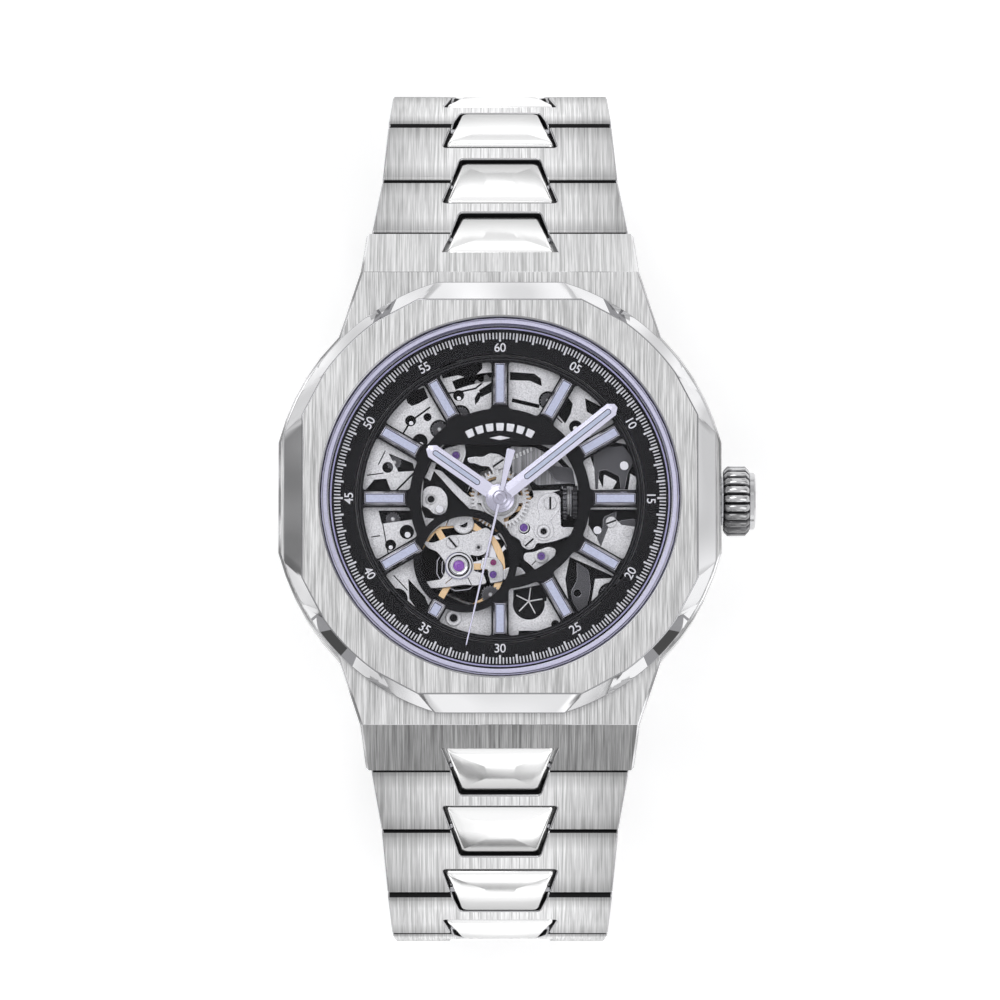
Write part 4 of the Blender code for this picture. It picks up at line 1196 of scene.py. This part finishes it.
def make_bridgework():
    """The small plates and levers round the centre, over the main plate's floor, which is painted near
    black as shade.
    """
    sheets = {
        "left_lobe": ([(-6.95, 1.0), (-6.3, 1.25), (-5.4, 1.15), (-4.8, 0.45), (-4.7, -0.6),
                       (-5.05, -1.4), (-6.0, -1.35), (-6.5, -0.8), (-7.05, -0.6)], 0.4, 0.0),
        "long_lever": ([(-6.2, 2.85), (-5.3, 2.6), (-3.3, 0.7), (-1.2, -0.95), (-1.6, -1.25),
                        (-2.6, -1.0), (-4.2, 0.6), (-5.2, 1.75)], 0.2, 0.05),
        "rim_sheet": ([(-6.85, 2.0), (-6.2, 3.5), (-5.75, 3.3), (-6.3, 1.7)], 0.1, -0.1),
        "jewel_sheet": ([(-5.2, 4.6), (-4.6, 3.4), (-4.1, 3.1), (-3.4, 3.2), (-3.05, 4.2),
                         (-3.2, 5.2)], 0.3, -0.08),
        "curved_lever": ([(-3.0, 3.8), (-2.3, 3.95), (-1.5, 3.9), (-0.95, 4.25), (-0.2, 4.2),
                          (0.75, 3.6), (0.8, 2.8), (0.2, 2.3), (-0.6, 2.35), (-1.0, 3.0),
                          (-1.7, 3.0), (-2.2, 3.25), (-2.9, 3.3)], 0.25, 0.0),
        "low_sheet": ([(-7.0, -1.6), (-6.0, -1.75), (-4.9, -1.6), (-3.9, -1.1), (-3.2, -0.95),
                       (-2.4, -1.6), (-3.4, -2.3), (-6.5, -2.5)], 0.2, -0.1),
        "train_sheet": ([(1.0, -1.9), (1.7, -1.1), (2.5, -0.2), (3.3, 0.5), (4.7, 0.8),
                         (5.5, 0.3), (5.5, -1.0), (5.55, -2.5), (6.9, -2.5), (6.4, -3.3),
                         (5.0, -3.8), (3.9, -4.0), (3.3, -3.95), (3.15, -4.4), (2.6, -4.6),
                         (1.95, -4.3), (1.8, -3.7), (0.9, -3.2), (0.55, -2.6)], 0.3, 0.0),
        "jewel_lobe": ([(2.2, -4.85), (3.1, -4.75), (4.4, -4.25), (5.1, -4.5), (4.8, -5.6),
                        (4.0, -6.1), (3.3, -6.5), (2.75, -5.9), (2.1, -5.4)], 0.3, -0.05),
        "foot_sheet": ([(0.3, -6.3), (1.2, -6.0), (2.0, -6.2), (2.4, -6.75), (1.4, -7.2),
                        (0.3, -7.3)], 0.2, -0.15),
        "escape_sheet": ([(-1.6, -5.25), (-0.9, -5.2), (-0.1, -5.35), (0.3, -6.0), (0.3, -7.4),
                          (-0.9, -7.6), (-1.1, -6.3), (-1.8, -6.3)], 0.2, -0.25)}
    holes = {"left_lobe": [disc(-6.25, 0.0, 0.4)], "train_sheet": [disc(2.2, -2.6, 0.5)],
             "jewel_lobe": [strip(2.9, -5.9, 3.3, -5.5, 0.08)],
             "low_sheet": [strip(-4.6, -1.6, -4.9, -2.4, 0.08)]}
    for name, (outline, radius, lift) in sheets.items():
        cut_plate(name, rounded(outline, radius), holes.get(name, [CLEAR_OF_PLATE]),
                  FACE - 0.35 + lift, FACE - 0.04 + lift, [SILVER, BRIGHT_EDGE, BLACK_AND_SHADE],
                  "main_plate")
    plate("wheel_sheet", [rounded([(0.9, 4.9), (3.2, 4.8), (4.9, 3.9), (6.3, 2.4), (6.6, 1.5),
                                   (3.4, 1.3), (2.2, 2.2), (1.1, 2.4)], 0.2)],
          FACE - 0.5, FACE - 0.25, [STEEL_DARK_AND_SHADED, LEVER_EDGE], node="main_plate", bevel=0.05,
          bevel_slot=1)
    teeth = [plate_mesh([[(x, 3.5 + 0.45 * x), (x + 0.17, 3.58 + 0.45 * x),
                          (x + 0.25, 3.2 + 0.45 * x), (x + 0.08, 3.12 + 0.45 * x)]],
                        FACE - 0.3, FACE - 0.1) for x in (1.1, 1.42, 1.74, 2.06, 2.38, 2.7)]
    joined("wheel_teeth", teeth, SILVER_BRIGHT, node="main_plate", bevel=0.02)
    raised = rounded([(3.7, 0.35), (4.6, 0.65), (5.35, 0.25), (5.45, -0.8), (5.0, -1.4),
                      (4.55, -1.9), (4.8, -2.4), (4.9, -3.1), (4.4, -3.75), (3.6, -3.75),
                      (3.05, -3.1), (3.15, -2.3), (3.6, -1.8), (3.55, -1.2), (3.35, -0.5)], 0.5)
    plate("raised_bridge", [raised], FACE - 0.04, FACE + 0.12, [SILVER, BRIGHT_EDGE],
          node="main_plate", bevel=0.05, bevel_slot=1)
    bush("bush_right", 3.95, -2.9, 0.28, 0.62, FACE + 0.12)
    bush("bush_left", -6.25, 0.02, 0.3, 0.5, FACE - 0.04)
    bush("bush_far_right", 11.57, -2.94, 0.2, 0.48, FACE - 0.1)
    bush("bush_low", -4.2, -10.75, 0.35, 0.75, FACE)


def make_motion_work():
    turned("hour_wheel_body", [(0.93, TOP - 0.55), (1.0, TOP - 0.52), (1.0, TOP - 1.3),
                               (1.5, TOP - 1.35), (1.55, TOP - 1.6), (1.55, TOP - 1.9),
                               (0.62, TOP - 1.9), (0.62, TOP - 0.55)], SILVER_DULL, "hour_train",
           node="hour_wheel", steps=72)
    spokes = [arc(2.1, a + 9, a + 81, 10) + arc(1.75, a + 78, a + 12, 10)
              for a in (0, 90, 180, 270)]
    plate("hour_wheel_teeth", [gear(2.35, 2.7, 44), circle(1.5, 48), *spokes], TOP - 1.88,
          TOP - 1.7, [SILVER_BRIGHT, BRIGHT_EDGE], "hour_train", node="hour_wheel", bevel=0.02,
          bevel_slot=1)
    turned("shock_ring", [(0.62, FACE), (1.25, FACE), (1.25, FACE + 0.22), (1.15, FACE + 0.28),
                          (1.0, FACE + 0.28), (0.94, FACE + 0.1), (0.82, FACE + 0.1),
                          (0.76, FACE + 0.24), (0.66, FACE + 0.22), (0.62, FACE + 0.15)],
           POLISH, node="main_plate",
           steps=64).data.transform(SHIFT_TO_BALANCE)
    turned("shock_shadow", [(0.83, FACE + 0.02), (1.0, FACE + 0.02), (0.97, FACE + 0.12),
                            (0.85, FACE + 0.12)], BLACK_AND_SHADE, node="main_plate",
           steps=64).data.transform(SHIFT_TO_BALANCE)
    cock = rounded([(-7.1, -3.7), (-6.1, -3.95), (-5.3, -3.65), (-4.5, -3.25), (-3.1, -3.2),
                    (-1.9, -2.8), (-1.25, -2.5), (-0.7, -2.95), (-0.85, -4.1), (-1.4, -4.95),
                    (-2.1, -5.15), (-2.75, -4.95), (-2.35, -5.9), (-2.4, -6.5), (-1.5, -6.7),
                    (-1.2, -7.6), (-2.3, -7.8), (-3.2, -7.7), (-4.9, -7.95), (-6.6, -8.05),
                    (-7.0, -7.5), (-5.3, -7.25), (-4.95, -6.6), (-5.0, -5.6), (-5.7, -4.7),
                    (-6.5, -4.4)], 0.25)
    cut_plate("balance_seat", cock, [strip(-4.9, -7.6, -4.3, -7.1, 0.08),
                                     strip(-2.6, -7.7, -2.9, -7.1, 0.08),
                                     disc(*BALANCE, 0.62)],
              FACE - 0.3, FACE + 0.02, [SILVER, BRIGHT_EDGE, BLACK_AND_SHADE], "main_plate", 0.05)
    bush("cock_bush", -3.3, -2.15, 0.35, 0.95, FACE - 0.35)
    bush("cock_pin", -1.95, -4.35, 0.14, 0.32, FACE + 0.02)


def make_small_wheels():
    """Small dark wheels in the wells of the main plate, and spokes between 5 and 6 o'clock."""
    for i, (x, y, radius, teeth) in enumerate(((-5.5, 6.4, 0.78, 16), (-3.6, 7.7, 0.8, 18),
                                               (4.35, 9.0, 0.78, 16), (9.97, -8.63, 0.98, 24),
                                               (-0.87, -8.6, 0.85, 18), (-9.7, -1.75, 0.7, 16),
                                               (-9.6, 3.4, 0.7, 14))):
        plate(f"small_wheel_{i + 1}", [gear(radius - 0.12, radius, teeth, (x, y)),
                                       disc(x, y, 0.2, 16)],
              FLOOR_LEVEL + 0.02, FLOOR_LEVEL + 0.32, [LEVER_GREY, LEVER_EDGE],
              node="main_plate", bevel=0.05, bevel_slot=1)
        plate(f"small_wheel_pin_{i + 1}", [disc(x, y, 0.17, 16)], FLOOR_LEVEL + 0.02,
              FLOOR_LEVEL + 0.42, SILVER_BRIGHT, node="main_plate", bevel=0.04)
    spokes = []
    for k in range(5):
        a = math.radians(72 * k + 10)
        spokes.append(plate_mesh([strip(2.6, -9.2, 2.6 + 1.2 * math.cos(a),
                                        -9.2 + 1.2 * math.sin(a), 0.1)],
                                 FLOOR_LEVEL + 0.02 + 0.02 * k, FLOOR_LEVEL + 0.3))
    joined("wheel_spokes", spokes, SILVER_BRIGHT, node="main_plate")


def make_winding_gears():
    """Toothed wheels round the winding stem, facing along it."""
    place = Matrix.Translation(Vector((0, 0, TOP - 4.1)) * MM) @ Matrix.Rotation(math.pi / 2, 4, 'Y')
    for i, (low, high, root, tip, teeth, finish) in enumerate((
            (5.7, 6.05, 1.35, 1.7, 22, LEVER_GREY), (6.1, 6.3, 1.1, 1.2, 40, SILVER_BRIGHT),
            (6.35, 6.5, 1.3, 1.4, 40, POLISH), (6.6, 7.0, 1.25, 1.6, 20, LEVER_GREY))):
        plate(f"winding_gear_{i + 1}", [gear(root, tip, teeth), circle(0.95, 32)], low, high,
              [finish, LEVER_EDGE], "winding_pinion", node="winding_pinion", matrix=place,
              bevel=0.03, bevel_slot=1)


def make_dial_side():
    make_main_plate()
    make_pins()
    make_levers()
    make_bridgework()
    make_motion_work()
    make_winding_gears()
    make_small_wheels()
    screws = [(4.55, -0.35, 0.58, 90, 0.12), (-4.3, -3.9, 0.58, -50, 0.02),
              (2.65, -3.9, 0.52, 42, -0.04), (-0.15, 3.3, 0.6, 35, -0.04),
              (10.06, -2.06, 0.5, 20, 0.0)]
    for i, (x, y, radius, angle, lift) in enumerate(screws):
        make_screw(f"screw_{i + 1}", x, y, radius, angle, level=FACE + lift)
    make_jewel("jewel_balance", *BALANCE, 0.5, AMETHYST, 0.62, FACE + 0.05)
    stones = [(2.15, -2.55, 0.36, VIOLET, 0.46, 0.0), (3.75, -5.15, 0.34, VIOLET, 0.62, -0.05),
              (-0.62, -6.8, 0.32, VIOLET, 0.44, -0.25), (-0.6, -5.7, 0.28, MAGENTA, 0.38, -0.25),
              (-4.0, 4.0, 0.34, VIOLET, 0.6, -0.08)]
    for i, (x, y, radius, stone, seat, lift) in enumerate(stones):
        make_jewel(f"jewel_{i + 1}", x, y, radius, stone, seat, FACE + lift)
    make_jewel("jewel_low", -0.95, -8.65, 0.3, MAGENTA, 0.45, FLOOR_LEVEL + 0.12)


# ---------------------------------------------------------------- movement, back

def make_wheels():
    """Softened copies of the CAD's wheels, bridges, rotor and back, and the back's screws."""
    gilt = [("mainspring_barrel", "barrel", SILVER_DULL), ("third_wheel", "third_wheel", BRASS),
            ("fourth_wheel", "seconds_train", BRASS), ("center_wheel", "minute_train", BRASS),
            ("balance_wheel", "balance", BRASS), ("escape_wheel", "escape_wheel", POLISH),
            ("pallet_fork", "pallet_fork", POLISH), ("ratchet_wheel", "ratchet", STEEL_SUN),
            ("crown_wheel", "crown_wheel", STEEL_SUN), ("winding_pinion", "winding_pinion", POLISH)]
    for node, body, finish in gilt:
        from_cad(node, [finish, finish], body, 0.03, slot=1)
    for node, body in (("rotor", "rotor"), ("barrel_bridge", "case"), ("train_bridge", "case"),
                       ("balance_cock", "case"), ("rotor_bearing", "case")):
        copy = from_cad(node, [BRIDGE_FROST if node != "rotor_bearing" else POLISH, BRIGHT_EDGE,
                               PAINTED_SHADE], body, 0.09, slot=1)
        # painted shade: the faces of the bridges and rotor turned to the dial are near black
        for face in copy.data.polygons:
            if face.normal.z > 0.5 and node != "rotor_bearing":
                face.material_index = 2
    from_cad("case_back", [STEEL_SUN, POLISH], "case", 0.12, slot=1)
    back = TOP - 6.0
    for i, (x, y, angle) in enumerate(((-9.0, 5.5, 20), (9.0, 5.5, -35), (-3.0, 11.0, 60),
                                       (9.5, -3.0, 10), (5.5, -9.5, 75), (-8.6, -2.6, -20))):
        make_screw(f"back_screw_{i + 1}", x, y, 0.75, angle, 0.15, back, down=True)
    for i, (x, y, radius) in enumerate(((2.07, -2.34, 0.55), (-0.9, -3.25, 0.5), (1.2, 6.4, 0.9))):
        stone = turned(f"back_jewel_{i + 1}", [(radius * 0.35, back - 0.05), (radius, back - 0.05),
                                               (radius, back + 0.1), (radius * 0.35, back + 0.1)],
                       MAGENTA, node="main_plate", steps=36)
        stone.data.transform(Matrix.Translation(Vector((x, y, 0)) * MM))


SCREW_STEEL = frosted("plate_screw", 0.72)
SILVER_BRIGHT = frosted("plate_bright", 0.8)
BRIGHT_EDGE = polished("plate_edge", (1.0, 1.0, 1.0), 0.25)
LEVER_EDGE = polished("lever_edge", (0.42, 0.42, 0.43), 0.2)
STEEL_SUN = brushed("steel_brushed_fine", 0.45, 0.80, (5000, 900, 5000))
BRIDGE_FROST = frosted("bridge_frosted", 0.72)

make_dial_side()
make_wheels()


# ---------------------------------------------------------------- crown

def fluted(radius, depth, teeth, steps=6):
    """A rim of round ridges parted by narrow grooves."""
    points = []
    for i in range(teeth):
        for k in range(steps):
            t = k / steps
            lift = math.sqrt(max(0.0, 1 - (2 * t - 1) ** 2)) if k else 0.0
            a = 2 * math.pi * (i + t) / teeth
            r = radius - depth * (1 - lift)
            points.append((r * math.cos(a), r * math.sin(a)))
    return points


def make_crown():
    centre_z = TOP - 4.1
    rim = fluted(3.19, 0.32, 22)
    bm = bmesh.new()
    loops = []
    for x, scale in ((20.22, 0.84), (20.32, 0.9), (20.62, 1.0), (22.22, 1.0), (22.52, 0.9),
                     (22.6, 0.86)):
        loops.append([bm.verts.new((x, a * scale, centre_z + b * scale)) for a, b in rim])
    for low, high in zip(loops, loops[1:]):
        for i in range(len(rim)):
            j = (i + 1) % len(rim)
            face = bm.faces.new((low[i], low[j], high[j], high[i]))
            # painted shade: the faces at each groove take the dark polished slot
            face.material_index = 1 if i % 6 in (0, 5) else 0
    bm.faces.new(loops[0][::-1])
    bm.faces.new(loops[-1])
    settle("crown_body", bm, [CROWN_POLISH, GROOVE_SHADE], "crown", node="crown", smooth=50)
    place = Matrix.Translation(Vector((0, 0, centre_z)) * MM) @ Matrix.Rotation(math.pi / 2, 4, 'Y')
    turned("crown_cap", [(0, 22.55), (2.5, 22.55), (2.6, 22.65), (2.6, 23.0), (2.48, 23.13),
                         (1.9, 23.13), (1.8, 23.05), (0, 23.05)], CROWN_POLISH, "crown", node="crown",
           matrix=place, steps=72)
    turned("crown_neck", [(1.3, 20.0), (2.2, 20.0), (2.2, 20.25), (1.3, 20.25)], POLISH_DARK,
           "crown", node="crown", matrix=place, steps=48)


def finish_carried_over():
    """Procedural finishes for the CAD solids that are shown as they are."""
    finishes = {"crystal_gasket": LILAC_RIM, "case_back_gasket": RUBBER, "crown_gasket": RUBBER,
                "movement_ring": BLACK_AND_SHADE, "crown_tube": POLISH_DARK, "winding_stem": POLISH_DARK,
                "case_back_window": GLASS, "hairspring": POLISH_DARK, "cannon_pinion": POLISH,
                "cover_hinge_pin": POLISH, "blade_hinge_pin": POLISH}
    for node, finish in finishes.items():
        mesh = frame["nodes"][node].data
        for i in range(len(mesh.materials)):
            mesh.materials[i] = finish


# the crown's polished steel has broad tones of painted reflection; its grooves take a dark copy,
# painted shade
CROWN_POLISH = polished("steel_polished_crown", (0.56, 0.56, 0.57), 0.12, 0.35, 260)
GROOVE_SHADE = polished("steel_groove_painted_shade", (0.10, 0.10, 0.105), 0.25)

make_crown()
finish_carried_over()


# ---------------------------------------------------------------- studio

def make_stage():
    bm = bmesh.new()
    reach, steps = 900.0, 48
    rings = [0.0, 60.0, 200.0, 450.0, reach]
    centre = bm.verts.new((0, 0, 0))
    loops = [[bm.verts.new((r * math.cos(2 * math.pi * i / steps),
                            r * math.sin(2 * math.pi * i / steps), 0)) for i in range(steps)]
             for r in rings[1:]]
    for i in range(steps):
        j = (i + 1) % steps
        bm.faces.new((centre, loops[0][i], loops[0][j]))
        for inner, outer in zip(loops, loops[1:]):
            bm.faces.new((inner[i], outer[i], outer[j], inner[j]))
    floor = settle("floor", bm, [FLOOR], None)


def area_light(name, place, target, width, height, power, colour=(1, 1, 1)):
    data = bpy.data.lights.new(name, 'AREA')
    data.shape = 'RECTANGLE'
    data.size = width
    data.size_y = height
    data.energy = power
    data.color = colour
    light = bpy.data.objects.new(name, data)
    bpy.context.scene.collection.objects.link(light)
    light.location = place
    aim = Vector(target) - Vector(place)
    light.rotation_euler = aim.to_track_quat('-Z', 'Y').to_euler()
    return light


def make_world():
    world = bpy.data.worlds.new("studio")
    bpy.context.scene.world = world
    world.use_nodes = True
    tree = world.node_tree
    shade = tree.nodes["Background"]
    place = tree.nodes.new("ShaderNodeTexCoord")
    split = tree.nodes.new("ShaderNodeSeparateXYZ")
    ramp = tree.nodes.new("ShaderNodeValToRGB")
    stops = [(0.0, 0.70), (0.49, 0.70), (0.53, 0.75), (0.60, 1.0), (0.75, 0.9), (1.0, 0.80)]
    while len(ramp.color_ramp.elements) < len(stops):
        ramp.color_ramp.elements.new(0.5)
    for element, (position, level) in zip(ramp.color_ramp.elements, stops):
        element.position = position
        element.color = (level, level, level * 1.005, 1)
    lift = tree.nodes.new("ShaderNodeMapRange")
    lift.inputs["From Min"].default_value = -1.0
    tree.links.new(place.outputs["Generated"], split.inputs["Vector"])
    tree.links.new(split.outputs["Z"], lift.inputs["Value"])
    tree.links.new(lift.outputs["Result"], ramp.inputs["Fac"])
    panels = tree.nodes.new("ShaderNodeTexNoise")
    panels.inputs["Scale"].default_value = 1.6
    panels.inputs["Detail"].default_value = 0.0
    tree.links.new(place.outputs["Generated"], panels.inputs["Vector"])
    contrast = tree.nodes.new("ShaderNodeMapRange")
    contrast.inputs["From Min"].default_value = 0.38
    contrast.inputs["From Max"].default_value = 0.52
    contrast.inputs["To Min"].default_value = 0.25
    contrast.inputs["To Max"].default_value = 1.0
    tree.links.new(panels.outputs["Fac"], contrast.inputs["Value"])
    shadow = tree.nodes.new("ShaderNodeMix")
    shadow.data_type = 'RGBA'
    shadow.blend_type = 'MULTIPLY'
    shadow.inputs["Factor"].default_value = 1.0
    tree.links.new(ramp.outputs["Color"], shadow.inputs["A"])
    tree.links.new(contrast.outputs["Result"], shadow.inputs["B"])
    overhead = tree.nodes.new("ShaderNodeMapRange")
    overhead.inputs["From Min"].default_value = 0.55
    overhead.inputs["From Max"].default_value = 0.85
    overhead.inputs["To Min"].default_value = 1.0
    overhead.inputs["To Max"].default_value = 0.0
    tree.links.new(split.outputs["Z"], overhead.inputs["Value"])
    tree.links.new(overhead.outputs["Result"], shadow.inputs["Factor"])
    tree.links.new(shadow.outputs["Result"], shade.inputs["Color"])
    shade.inputs["Strength"].default_value = 1.12


def make_camera():
    data = bpy.data.cameras.new("camera")
    data.lens = 280
    data.clip_end = 20
    camera = bpy.data.objects.new("camera", data)
    bpy.context.scene.collection.objects.link(camera)
    tilt, distance = math.radians(4.4), 700 * MM
    centre = Vector((0, -0.36, TOP + 2)) * MM
    camera.location = centre + Vector((0, -math.sin(tilt), math.cos(tilt))) * distance
    camera.rotation_euler = (tilt, 0, 0)
    bpy.context.scene.camera = camera


FLOOR = matte("floor_white", (0.97, 0.97, 0.97), 0.9, 20, 0.0)
FLOOR.node_tree.nodes["Principled BSDF"].inputs["Emission Color"].default_value = (1, 1, 1, 1)
FLOOR.node_tree.nodes["Principled BSDF"].inputs["Emission Strength"].default_value = 0.28

make_stage()
make_world()
area_light("key", (-0.25, 0.35, 0.75), (0, 0, 0.04), 0.5, 0.35, 1.2)
area_light("fill", (0.45, -0.25, 0.60), (0, 0, 0.04), 0.35, 0.5, 0.7)
area_light("front", (0, -0.9, 0.32), (0, 0, 0.03), 0.8, 0.3, 0.44)
area_light("back", (0, 0.9, 0.32), (0, 0, 0.03), 0.8, 0.3, 0.2)
make_camera()
bpy.context.scene.view_settings.view_transform = 'Standard'
